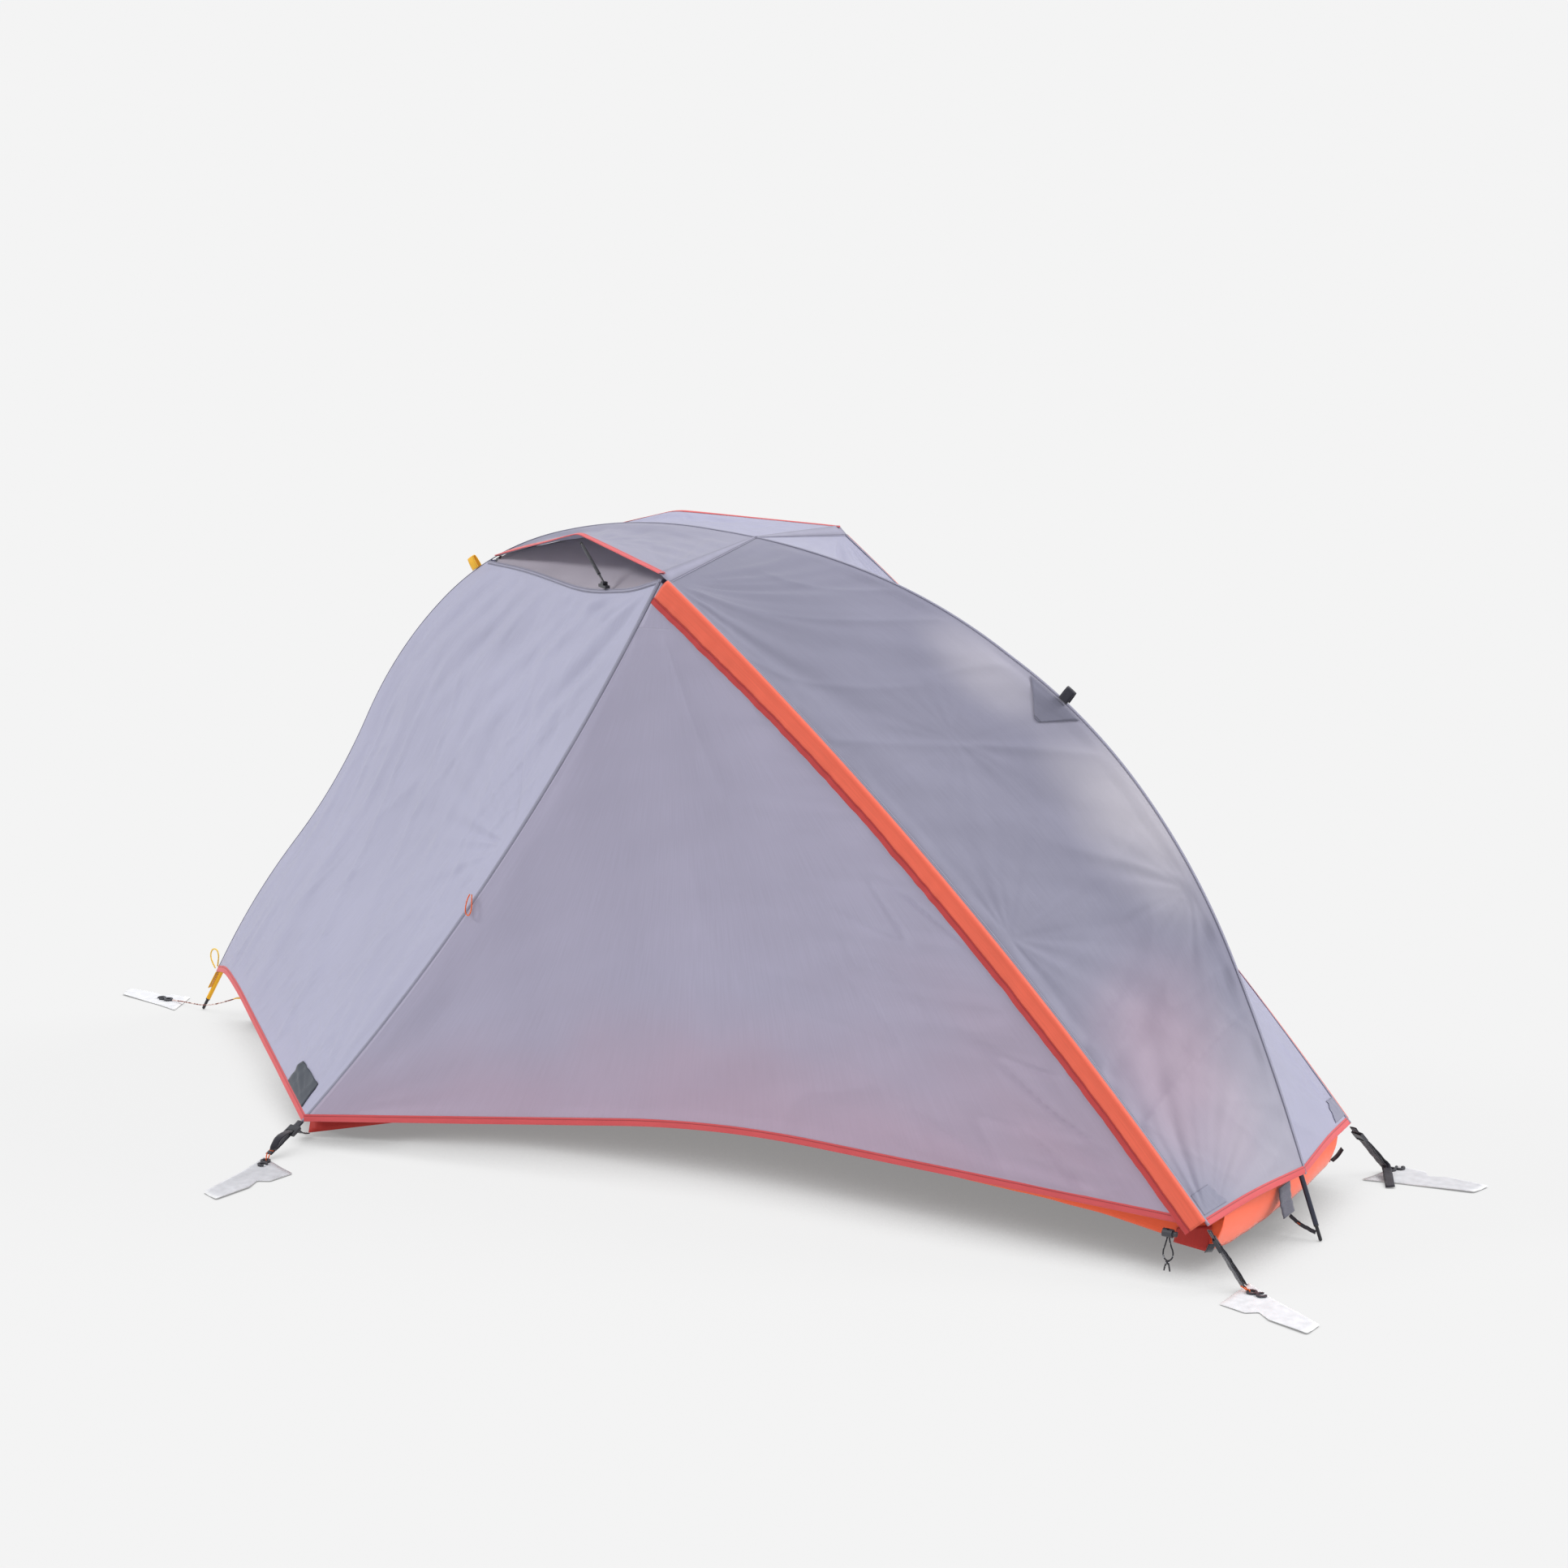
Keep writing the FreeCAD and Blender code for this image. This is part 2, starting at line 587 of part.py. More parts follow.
# ---------------------------------------------------------------- sewn-on details
def on_panel(curves, u, v):
    return patch_point(*curves, u, v)


def sewn_patch(curves, corners, mirror_columns, lift=LAYER):
    """Four-cornered patch lying on a panel, its corners given as (u, v) of the panel."""
    grid = []
    for a in spread(3):
        row = []
        for b in spread(3):
            low = [corners[0][k] * (1 - b) + corners[1][k] * b for k in (0, 1)]
            high = [corners[3][k] * (1 - b) + corners[2][k] * b for k in (0, 1)]
            row.append(on_panel(curves, low[0] * (1 - a) + high[0] * a, low[1] * (1 - a) + high[1] * a))
        grid.append(row[::-1] if mirror_columns else row)
    return skin(grid, lift + CLOTH, -lift)


def make_details():
    head, foot = head_panel(), foot_panel()
    foot_loop_patch = sewn_patch(foot, [(0.545, 0.06), (0.570, 0.16), (0.588, 0.16), (0.620, 0.06)], True, 2.2)
    corner_patch = sewn_patch(foot, [(0.016, 0.78), (0.016, 0.985), (0.040, 0.985), (0.040, 0.84)], True, 1.4)
    patches = [foot_loop_patch, corner_patch]
    save("reinforcement_patches", *patches, *[far_side(patch) for patch in patches])
    save("blank_label", sewn_patch(head, [(0.0135, 0.828), (0.0135, 0.95), (0.054, 0.943), (0.053, 0.832)], False))
    save("head_guy_loop", ridge_loop(VENT_START_S - 37, 15, 25))
    save("foot_guy_loop", ridge_loop(pole_distance(1906), 18, 25))


def ridge_loop(distance, width, height):
    """Webbing folded over into a loop that stands on the ridge, its width along the ridge."""
    outward = outward_at(distance)[1]
    seat = ridge_top(distance) + V(0, RIDGE_GAP, 0)
    shape = [(-5, 1.6), (-5.5, height * 0.5), (-3, height), (3, height), (5.5, height * 0.5), (5, 1.6)]
    return ribbon([seat + V(0, y, 0) + outward * out for y, out in shape], width, POLE.place(distance)[1], 1.1)


def tie_loop():
    """Cord loop sewn into the door seam, which holds the rolled door."""
    seam = head_panel()[1]
    top = seam(0.44) + V(-11, -9, 0)
    points = [top + V(0, 0, 8), top + V(-6, -4, -8), top + V(-8, -7, -24), top + V(-2, -8, -36),
              top + V(7, -8, -34), top + V(9, -6, -20), top + V(6, -3, -4), top + V(5, 0, 8)]
    return rod(Route(points), 1.1)


# ---------------------------------------------------------------- inner tent
def mirrored_row(points):
    """A full cross row from the near edge to the far edge."""
    return points + [flip(point) for point in points[::-1]]


def make_inner():
    edge, top = Route(FLOOR_EDGE, 0.4), Route(WALL_TOP, 0.4)
    grid = []
    for t in spread(15):
        low, high = edge.at(t), top.at(t)
        flat_y = -min(FLOOR_FLAT, abs(low.y) * 0.5)
        lifted = min(max((low.x - LIFT_FROM) / (LIFT_TO - LIFT_FROM), 0.0), 1.0)
        flat = V(low.x, flat_y, FLOOR_LIFT * lifted)
        grid.append(mirrored_row([high, (high + low) * 0.5 + V(0, -4, 0), low, (low + flat) * 0.5 - V(0, 0, 6), flat]))
    last = grid[-1]
    grid.append([V(2330, point.y * 0.96, 108) for point in last])
    for row in grid:
        for point in row:
            point.z = max(point.z, 0.0)
    save("floor_tub", skin(grid, 0.0, CLOTH))
    canopy = inner_canopy(top)
    save("near_inner_canopy", canopy)
    save("far_inner_canopy", far_side(canopy))
    save("inner_clips", *[inner_clip(pole_distance(x)) for x in CLIP_X])
    patches = [corner_patch(FLOOR_EDGE[-1], WALL_TOP[-1], V(2250, -236, 48)),
               corner_patch(FLOOR_EDGE[2], WALL_TOP[2], V(730, -440, 12))]
    save("floor_corner_patches", *patches, *[far_side(patch) for patch in patches])


CLIP_X = [250, 420, 560, 760, 1000, 1180, 1440, 1680, 1900, 2100, 2230]


def hang_point(distance):
    axis_point, outward = outward_at(distance)
    return axis_point - outward * HANG_DROP


def inner_canopy(top):
    """Breathable near half of the inner tent, from the clips down to the tub's upper edge."""
    begin, end = pole_distance(120), pole_distance(2318)
    roof = lambda t: hang_point(begin + (end - begin) * t) - V(0, 0.8, 0)
    wall = lambda t: top.at(t) + V(0, 1.5, 1.5)
    grid = []
    for t in spread(15):
        row = []
        for v in spread(6):
            sag = math.sin(math.pi * v) * 14 * math.sin(math.pi * t)
            row.append(roof(t) * (1 - v) + wall(t) * v + V(0, sag, -sag))
        grid.append(row)
    return skin(grid, 0.0, 0.8)


def inner_clip(distance):
    """Plastic hook that snaps on the long pole and carries the inner tent."""
    axis_point, along = POLE.place(distance)
    inward = (hang_point(distance) - axis_point).normalize()
    ring = Part.makeCylinder(POLE_R + 2.2, 10, axis_point - along * 5, along)
    ring = ring.cut(Part.makeCylinder(POLE_R + 0.05, 12, axis_point - along * 6, along))
    stem_length = HANG_DROP - POLE_R - 3.5
    stem_centre = axis_point + inward * (POLE_R + 1.0 + stem_length / 2)
    stem = box_along(stem_centre, inward, along, stem_length, 3, 8)
    return ring.fuse(stem).removeSplitter()


def corner_patch(low, high, inboard):
    outer = V(0, -6, 0)
    grid = [[low + outer, inboard + outer],
            [low * 0.35 + high * 0.65 + outer, inboard * 0.9 + high * 0.1 + outer + V(0, -3, 20)]]
    return skin(grid, 0.0, 0.8)


# ---------------------------------------------------------------- corners and ground anchors
# fly corner, end of its strap, hook centre, then the anchor card: place, heading, mirrored or not
CORNERS = {
    "near_foot": (V(2337, -289, 92), V(2383, -266, 8), V(2408, -270, 3.4), V(2376, -284, 0), -23, 1),
    "far_foot": (V(2337, 289, 92), V(2366, 362, 8), V(2378, 380, 3.4), V(2362, 352, 0), 4, -1),
    "near_shoulder": (V(686, -527, 40), V(684, -606, 8), V(696, -632, 3.4), V(722, -626, 0), -90, -1),
    "far_shoulder": (V(686, 527, 40), V(684, 606, 8), V(696, 632, 3.4), V(722, 626, 0), 90, 1),
}
HEAD_HOOK = V(-106, 4, 3.4)
HEAD_CARD = V(-58, 2, 0)
CARD_T = 1.0
CARD_OUTLINE = [(18, -48), (-18, 48), (40, 36), (170, 20), (184, -20), (110, -30), (78, -20), (67, -40)]
HOOK_T = 3.2
STRAP_W = 15.0


def anchor_card(place, heading, mirrored, scale=1.0):
    corners = []
    for x, y in CARD_OUTLINE:
        turned = FreeCAD.Rotation(V(0, 0, 1), heading).multVec(V(x * scale, y * mirrored * scale, 0))
        corners.append(place + turned)
    return Part.Face(Part.makePolygon(corners + corners[:1])).extrude(V(0, 0, CARD_T))


def guy_hook(centre, heading):
    """Flat S-shaped hook: a closed eye and an open hook, in one moulding."""
    low = V(0, 0, -HOOK_T / 2)
    eye = Part.makeCylinder(9, HOOK_T, low + V(-9, 0, 0))
    crook = Part.makeCylinder(9, HOOK_T, low + V(9, 0, 0))
    body = eye.fuse(crook)
    body = body.cut(Part.makeCylinder(5, HOOK_T + 2, low + V(-9, 0, -1)))
    body = body.cut(Part.makeCylinder(5, HOOK_T + 2, low + V(9, 0, -1)))
    mouth = Part.makeBox(12, 6, HOOK_T + 2, low + V(8, 3, -1))
    body = body.cut(mouth).removeSplitter()
    body.rotate(V(0, 0, 0), V(0, 0, 1), heading)
    body.translate(centre)
    return body


def make_corners():
    straps, buckles, hooks, cards, cords = [], [], [], [], []
    for fly_corner, strap_end, hook, card, heading, mirrored in CORNERS.values():
        level = V(strap_end.x - fly_corner.x, strap_end.y - fly_corner.y, 0)
        side = level.cross(V(0, 0, 1)).normalize()
        drop = (strap_end - fly_corner).normalize()
        buckle_at = fly_corner + drop * 17
        straps.append(ribbon([fly_corner, buckle_at + drop * 4, strap_end - drop * 22 + V(0, 0, -1), strap_end],
                             STRAP_W, side, 1.4))
        window_up = side.cross(drop)
        frame = box_along(buckle_at, drop, window_up, 22, 23, 6)
        frame = frame.cut(box_along(buckle_at, drop, window_up, 40, 17, 3.2))
        slot = box_along(buckle_at + drop * 5, drop, window_up, 5, 17, 20)
        buckles.append(frame.cut(slot))
        toward = V(hook.x - strap_end.x, hook.y - strap_end.y, 0)
        hook_heading = math.degrees(math.atan2(toward.y, toward.x))
        hooks.append(guy_hook(hook, hook_heading))
        cards.append(anchor_card(card, heading, mirrored))
        cords.append(guy_cord(strap_end, hook, toward.normalize()))
    hooks.append(guy_hook(HEAD_HOOK, 180))
    cards.append(anchor_card(HEAD_CARD, 180, 1, 0.86))
    straps += [floor_tab(FLOOR_EDGE[-1], V(2326, -262, 66)), floor_tab(FLOOR_EDGE[2], V(672, -512, 22))]
    straps += [far_side(strap) for strap in straps[-2:]]
    save("corner_straps", *straps)
    save("ladder_lock_buckles", *buckles)
    save("guy_hooks", *hooks)
    save("anchor_cards", *cards)
    save("guy_cords", *cords)


def guy_cord(strap_end, hook, toward):
    """Short cord from the strap's end to the eye of the hook."""
    eye = hook - toward * 19.5
    return rod(Route([strap_end + toward * 1.2, eye + V(0, 0, 0.4)]), 1.2)


def floor_tab(floor_corner, fly_end):
    start = shift(floor_corner + V(0, -9, 0), fly_end, 2)
    level = V(fly_end.x - start.x, fly_end.y - start.y, 0)
    side = level.cross(V(0, 0, 1)).normalize()
    return ribbon([start, (start + fly_end) * 0.5 + V(0, 0, -2), fly_end], 12, side, 1.2)


def make_ends():
    """Tabs that hold the fly and the floor to the two feet of the long pole."""
    out = outward_at(58)[1]
    fly_tab = ribbon([POLE.place(s)[0] + out * 6.4 for s in (58, 74, 90)], 14, V(0, 1, 0))
    floor_strap = ribbon([V(136, 0, 34), V(108, 0, 41), V(84, 0, 36)], 14, V(0, 1, 0))
    save("head_tab", fly_tab, floor_strap)
    patch = ribbon([V(2333.5, 0, 84), V(2336, 0, 56), V(2344, 0, 34)], 46, V(0, 1, 0), 1.0)
    strap = ribbon([V(2347, 0, 31), V(2366, 0, 21), V(2391, 0, 13)], 10, V(0, 1, 0), 1.2)
    save("foot_tab", patch, strap)


def make_cords():
    """Free cords. Each route is a list of points chosen by hand."""
    routes = {
        "head_guy_cord": (HEAD_CORD, 1.25),
        "head_bungee": (BUNGEE, 1.5),
        "lock_cord": (LOCK_CORD, 1.3),
    }
    for name, (points, radius) in routes.items():
        route = Route(points)
        cord = rod(route, radius)
        save(name, cord)
        expected = math.pi * radius ** 2 * route.length
        print(name, "length", round(route.length, 1), "volume ratio", round(cord.Volume / expected, 4),
              "radii", [round(r, 1) for r in route.radii])


HEAD_CORD = [V(83, -3, 35), V(60, -6, 26), V(34, -9, 17), V(8, -10, 12), V(-16, -5, 9), V(-40, -1, 7),
             V(-64, 3, 5), V(-86, 4, 3.6)]
BUNGEE = [V(38, -3, 92), V(31, -5, 105), V(29, -6, 120), V(36, -7, 133), V(47, -6, 133), V(50, -5, 121),
          V(47, -4, 108), V(43, -2, 97)]
LOCK_CORD = [V(2266.2, -301, 78.6), V(2264, -301.5, 67), V(2260, -302, 56), V(2261, -303, 45),
             V(2269, -304, 39), V(2277, -303, 45), V(2278, -302, 56), V(2272, -301.5, 67), V(2269.8, -301, 78.6)]


def make_cord_lock():
    """Barrel cord lock at the foot of the door zip: shell, plunger, spring, knot on its cord."""
    centre = V(2268, -301, 86)
    axis = V(1, 0, 0)
    shell = Part.makeCylinder(7, 17, centre - axis * 9, axis)
    shell = shell.cut(Part.makeCylinder(4.6, 15.5, centre - axis * 7, axis))
    cord_hole = Part.makeCylinder(3.3, 30, centre - V(0, 0, 15), V(0, 0, 1))
    save("lock_body", shell.cut(cord_hole))
    plunger = Part.makeCylinder(4.4, 16, centre - axis * 1.5, axis)
    plunger = plunger.cut(Part.makeCylinder(1.8, 30, centre + axis * 6.5 - V(0, 0, 15), V(0, 0, 1)))
    plunger = plunger.cut(Part.makeCylinder(3.6, 4.6, centre - axis * 1.6, axis))
    save("lock_plunger", plunger)
    turn_points = [centre + V(-6.5 + 0.16 * i, 2.9 * math.cos(i * math.pi / 4), 2.9 * math.sin(i * math.pi / 4))
                   for i in range(25)]
    save("lock_spring", rod(Route(turn_points), 0.35))
    middle = V(2269, -304, 38)
    knot = Part.makeSphere(3.4, middle)
    tails = [rod(Route([middle + V(k * 1.6, 0, 0), middle + V(k * 4, -1, -8), middle + V(k * 5, -1, -14)]), 1.3)
             for k in (-1, 1)]
    save("lock_cord_knot", knot.fuse(tails[0]).fuse(tails[1]))


# ---------------------------------------------------------------- build
def main():
    os.makedirs("parts", exist_ok=True)
    make_poles()
    make_fly()
    make_hems()
    make_flap_and_zip()
    make_vents()
    make_details()
    loop = tie_loop()
    save("near_tie_loop", loop)
    save("far_tie_loop", far_side(loop))
    make_inner()
    make_corners()
    make_ends()
    make_cords()
    make_cord_lock()
    report()


def report():
    whole = FreeCAD.BoundBox()
    cords = ("head_guy_cord", "head_bungee", "lock_cord", "lock_cord_knot")
    for name, shape in SAVED.items():
        if not shape.isValid() or shape.Volume <= 0:
            print("NOT VALID", name, shape.Volume)
        if name not in cords:
            whole.add(shape.BoundBox)
    print(len(SAVED), "nodes, box", whole)


main()
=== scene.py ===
"""Looks of the one-person hoop tent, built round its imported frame.

The cloth follows the same driving dimensions as the frame. They are written here in
millimetres of the tent's own drawing, with the foot of the head-end pole at X = 0, and
row() turns a point into the frame's metres. "near" is the -Y side, "far" its mirror image.
"""
import math

import bpy
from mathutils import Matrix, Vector, noise


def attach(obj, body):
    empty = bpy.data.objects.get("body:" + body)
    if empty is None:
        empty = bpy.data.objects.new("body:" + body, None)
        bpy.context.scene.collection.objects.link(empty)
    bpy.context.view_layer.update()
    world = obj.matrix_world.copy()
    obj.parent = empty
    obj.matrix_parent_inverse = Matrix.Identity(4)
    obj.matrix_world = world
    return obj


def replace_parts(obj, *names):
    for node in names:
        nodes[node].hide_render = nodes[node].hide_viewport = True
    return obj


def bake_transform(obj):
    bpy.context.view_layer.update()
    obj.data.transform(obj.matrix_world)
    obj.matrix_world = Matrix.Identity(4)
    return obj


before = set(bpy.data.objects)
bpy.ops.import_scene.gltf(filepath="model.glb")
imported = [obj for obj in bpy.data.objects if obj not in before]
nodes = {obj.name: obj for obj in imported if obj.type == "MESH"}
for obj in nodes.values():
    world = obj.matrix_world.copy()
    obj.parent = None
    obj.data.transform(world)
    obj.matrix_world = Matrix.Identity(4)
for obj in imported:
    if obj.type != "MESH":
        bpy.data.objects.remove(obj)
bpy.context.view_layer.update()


def V(x, y, z):
    return Vector((x, y, z))


# ---------------------------------------------------------------- driving dimensions
ORIGIN_X = 1164.0
SLEEVE_R = 9.0
POLE_BENDS = [(0, 3), (155, 255), (377, 512), (525, 786), (752, 995), (1054, 1075),
              (1393, 1055), (1667, 985), (1957, 816), (2154, 589), (2291, 300), (2400, 3)]
CROSS_X = 1310.0
TOP_CORNER = V(1310, -289, 1039)
SHOULDER = V(692, -522, 45)
FOOT_CORNER = V(2333, -286, 98)
HEM_BEND = V(1485, -402, 144)
HEAD_HEM = [V(135, -85, 121), V(240, -170, 121)]
FOOT_HEM_MIDDLE = V(2350, -150, 117)
VENT_START = V(745, 0, 984)
VENT_PEAK = V(1044, -155, 1073)
VENT_LIP = [V(880, -77, 984), V(1090, -195, 984), V(1230, -262, 1010)]
HEAD_START_X, FOOT_END_X = 50, 2361
SEAM_BOW = V(33, 2, -21)
ZIP_SAGITTA = 38.0
ZIP_INSET = 15.0
FLAP_WIDTH = 34.0
HEM_WIDTH = 12.0
BINDING_WIDTH = 12.0
DOOR_TOP_DROP = 92.0
HOOD_GAP = 14.0
CLOTH, TAPE = 0.6, 0.5
BEND_FROM, BEND_TO = 0.040, 0.078      # metres off the door's hinge line

FLOOR_EDGE = [V(140, -14, 26), V(420, -215, 40), V(666, -470, 6), V(1000, -335, 72),
              V(1400, -268, 108), V(1750, -262, 90), V(2100, -250, 76), V(2312, -238, 44)]
WALL_TOP = [V(150, -12, 78), V(420, -190, 112), V(655, -430, 88), V(1000, -330, 146),
            V(1400, -275, 176), V(1750, -262, 164), V(2100, -245, 150), V(2312, -222, 108)]
FLOOR_FLAT, FLOOR_LIFT = 40.0, 30.0
LIFT_FROM, LIFT_TO = 780.0, 1200.0
HANG_DROP = 42.0


def row(point):
    """A point of the drawing, in millimetres, as a point of the frame, in metres."""
    return Vector(((point.x - ORIGIN_X) / 1000, point.y / 1000, point.z / 1000))


def mirrored(point):
    return V(point.x, -point.y, point.z)


def on_side(point, far):
    """A point of the near side, or its mirror image on the far side."""
    return mirrored(point) if far else point


def spread(count, first=0.0, last=1.0):
    return [first + (last - first) * i / (count - 1) for i in range(count)]


def smooth(t):
    t = min(max(t, 0.0), 1.0)
    return t * t * (3 - 2 * t)


# ---------------------------------------------------------------- lines of the drawing
class Line:
    """Line of a pole or a cut edge, through its end points and eased at each bend."""

    def __init__(self, points, share=0.45):
        path = [points[0]]
        for before, corner, after in zip(points, points[1:], points[2:]):
            reach = share * min((corner - before).length, (after - corner).length)
            a = corner + (before - corner).normalized() * reach
            b = corner + (after - corner).normalized() * reach
            path += [a.lerp(corner, t).lerp(corner.lerp(b, t), t) for t in spread(25)]
        path.append(points[-1])
        self.path = path
        self.passed = [0.0]
        for first, second in zip(path, path[1:]):
            self.passed.append(self.passed[-1] + (second - first).length)
        self.length = self.passed[-1]

    def place(self, distance):
        distance = min(max(distance, 0.0), self.length)
        low, high = 0, len(self.path) - 1
        while high - low > 1:
            middle = (low + high) // 2
            if self.passed[middle] <= distance:
                low = middle
            else:
                high = middle
        step = self.passed[high] - self.passed[low]
        return self.path[low].lerp(self.path[high], (distance - self.passed[low]) / step if step else 0.0)

    def at(self, share):
        return self.place(share * self.length)

    def heading(self, distance, half=14.0):
        return (self.place(distance + half) - self.place(distance - half)).normalized()


POLE = Line([V(x, 0, z) for x, z in POLE_BENDS], 0.5)


def pole_distance(x):
    low, high = 0.0, POLE.length
    for _ in range(40):
        middle = (low + high) / 2
        if POLE.place(middle).x < x:
            low = middle
        else:
            high = middle
    return low


HEAD_START, VENT_BEGIN = pole_distance(HEAD_START_X), pole_distance(VENT_START.x)
CROSS, FOOT_END = pole_distance(CROSS_X), pole_distance(FOOT_END_X)


def outward(distance):
    return POLE.heading(distance).cross(V(0, 1, 0))


def sleeve_point(distance, angle, radius=SLEEVE_R):
    """Point on the cloth round the long pole. Angle 0 is its top, and grows to the near side."""
    away = outward(distance)
    return POLE.place(distance) + away * (radius * math.cos(angle)) - V(0, 1, 0) * (radius * math.sin(angle))


def sleeve_angle(distance, target):
    """How far round the pole the cloth lies before it runs straight to target."""
    aim = target - POLE.place(distance)
    slope = math.atan2(-aim.dot(outward(distance)), -aim.y)
    return min(max(slope, 0.0), math.radians(80))


def straight(first, last):
    return lambda t: first.lerp(last, t)


def bowed(first, last, bow):
    return lambda t: first.lerp(last, t) + bow * (4 * t * (1 - t))


def shift(point, toward, amount):
    return point + (toward - point).normalized() * amount


CHORD = FOOT_CORNER - TOP_CORNER
ARC_Y = (TOP_CORNER.y + FOOT_CORNER.y) / 2
CHORD_LENGTH = math.hypot(CHORD.x, CHORD.z)
ARC_R = CHORD_LENGTH ** 2 / (8 * ZIP_SAGITTA) + ZIP_SAGITTA / 2
ARC_OUT = V(-CHORD.z, 0, CHORD.x) / CHORD_LENGTH
ARC_MIDDLE = (TOP_CORNER + FOOT_CORNER) * 0.5 + ARC_OUT * ZIP_SAGITTA
ARC_CENTRE = V(ARC_MIDDLE.x, ARC_Y, ARC_MIDDLE.z) - ARC_OUT * ARC_R
ARC_HALF = math.asin(CHORD_LENGTH / 2 / ARC_R)


def arc_point(inset, share, y=ARC_Y):
    """Point inside the door's long edge. share runs from the top to the foot."""
    angle = ARC_HALF * (2 * share - 1)
    turned = ARC_OUT * math.cos(angle) + ARC_OUT.cross(V(0, -1, 0)) * math.sin(angle)
    point = ARC_CENTRE + turned * (ARC_R - inset)
    return V(point.x, y, point.z)


# ---------------------------------------------------------------- cloth panels
class Panel:
    """Four-sided panel: sides a and b run from low to high."""

    def __init__(self, side_a, side_b, low, high):
        self.side_a, self.side_b, self.low, self.high = side_a, side_b, low, high
        self.corners = [side_a(0), side_b(0), side_b(1), side_a(1)]
        middle = sum(self.corners, Vector()) / 4
        across = (self.corners[1] + self.corners[2] - self.corners[0] - self.corners[3]).normalized()
        up = self.corners[2] + self.corners[3] - self.corners[0] - self.corners[1]
        up = (up - across * up.dot(across)).normalized()
        self.middle, self.across, self.up = middle, across, up

    def point(self, u, v):
        along = self.side_a(u) * (1 - v) + self.side_b(u) * v
        rise = self.low(v) * (1 - u) + self.high(v) * u
        c = self.corners
        return along + rise - (c[0] * ((1 - u) * (1 - v)) + c[1] * ((1 - u) * v)
                               + c[2] * (u * v) + c[3] * (u * (1 - v)))

    def flat(self, point):
        """Place of a point in the panel's own plane, in millimetres."""
        arm = point - self.middle
        return arm.dot(self.across), arm.dot(self.up)


def ridge_side(begin, end, opposite):
    def side(t):
        distance = begin + (end - begin) * t
        return sleeve_point(distance, sleeve_angle(distance, opposite(t)))
    return side


def head_panel():
    seam = bowed(shift(SHOULDER, V(400, -290, 80), 1.5), shift(TOP_CORNER, V(1240, -262, 1010), 6), SEAM_BOW)
    ridge = ridge_side(HEAD_START, VENT_BEGIN, seam)
    hem = Line([ridge(0)] + HEAD_HEM + [seam(0)])
    lip = Line([ridge(1)] + VENT_LIP + [seam(1)])
    return Panel(ridge, seam, hem.at, lip.at)


def foot_panel():
    def zip_side(t):
        return arc_point(-1.5, 0.994 - 0.985 * t)
    ridge = ridge_side(FOOT_END, CROSS, zip_side)
    hem = Line([ridge(0), FOOT_HEM_MIDDLE, zip_side(0)])
    return Panel(ridge, zip_side, hem.at, straight(ridge(1), zip_side(1)))


def vent_hood():
    tip = TOP_CORNER + V(-4, -2, 8)
    edge = Line([VENT_START + V(12, -11, 4), VENT_PEAK, tip], 0.06)
    ridge = ridge_side(VENT_BEGIN + HOOD_GAP, CROSS, edge.at)
    return Panel(ridge, edge.at, straight(ridge(0), edge.at(0)), straight(ridge(1), tip))


SEAM_LENGTH = (TOP_CORNER - SHOULDER).length
DOOR_LOW, DOOR_HIGH = 3 / SEAM_LENGTH, 1 - DOOR_TOP_DROP / SEAM_LENGTH


def door_seam(share):
    return bowed(SHOULDER, TOP_CORNER, SEAM_BOW)(share) + V(2, -0.8, 0)


def door_panel():
    def seam(t):
        return door_seam(DOOR_LOW + (DOOR_HIGH - DOOR_LOW) * t)

    def zip_side(t):
        return arc_point(ZIP_INSET + 5, 0.984 - 0.907 * t, ARC_Y - 1.0)
    hem = Line([seam(0), HEM_BEND + V(0, 0, 3), zip_side(0)], 0.22)
    return Panel(seam, zip_side, hem.at, straight(seam(1), zip_side(1)))


HEAD, FOOT, HOOD, DOOR = head_panel(), foot_panel(), vent_hood(), door_panel()


# ---------------------------------------------------------------- wrinkles
def waves(x, y, angle, wide, long, seed):
    """Long soft folds, from -1 to 1, that run at an angle in the panel's plane."""
    c, s = math.cos(angle), math.sin(angle)
    return 2 * noise.noise(Vector(((y * c - x * s) / wide, (x * c + y * s) / long, seed)))


def creases(x, y, angle, wide, long, seed):
    """Sharper folds: mostly flat, with narrow raised lines."""
    n = abs(waves(x, y, angle, wide, long, seed))
    return max(0.0, 1 - n * 3.0) ** 2


def fan(x, y, anchor, reach, count, seed):
    """Tension folds that spread from an anchor and die out."""
    dx, dy = x - anchor[0], y - anchor[1]
    r = math.hypot(dx, dy) + 1e-6
    turn = math.atan2(dy, dx)
    n = noise.noise(Vector((math.cos(turn) * count, math.sin(turn) * count, seed + r / 1400)))
    return 2 * n * (r / (r + 70)) * math.exp(-r / reach)


def slope(first, last):
    return math.atan2(last[1] - first[1], last[0] - first[0])


def belly(depth, u, v):
    return depth * math.sin(math.pi * u) * math.sin(math.pi * v)


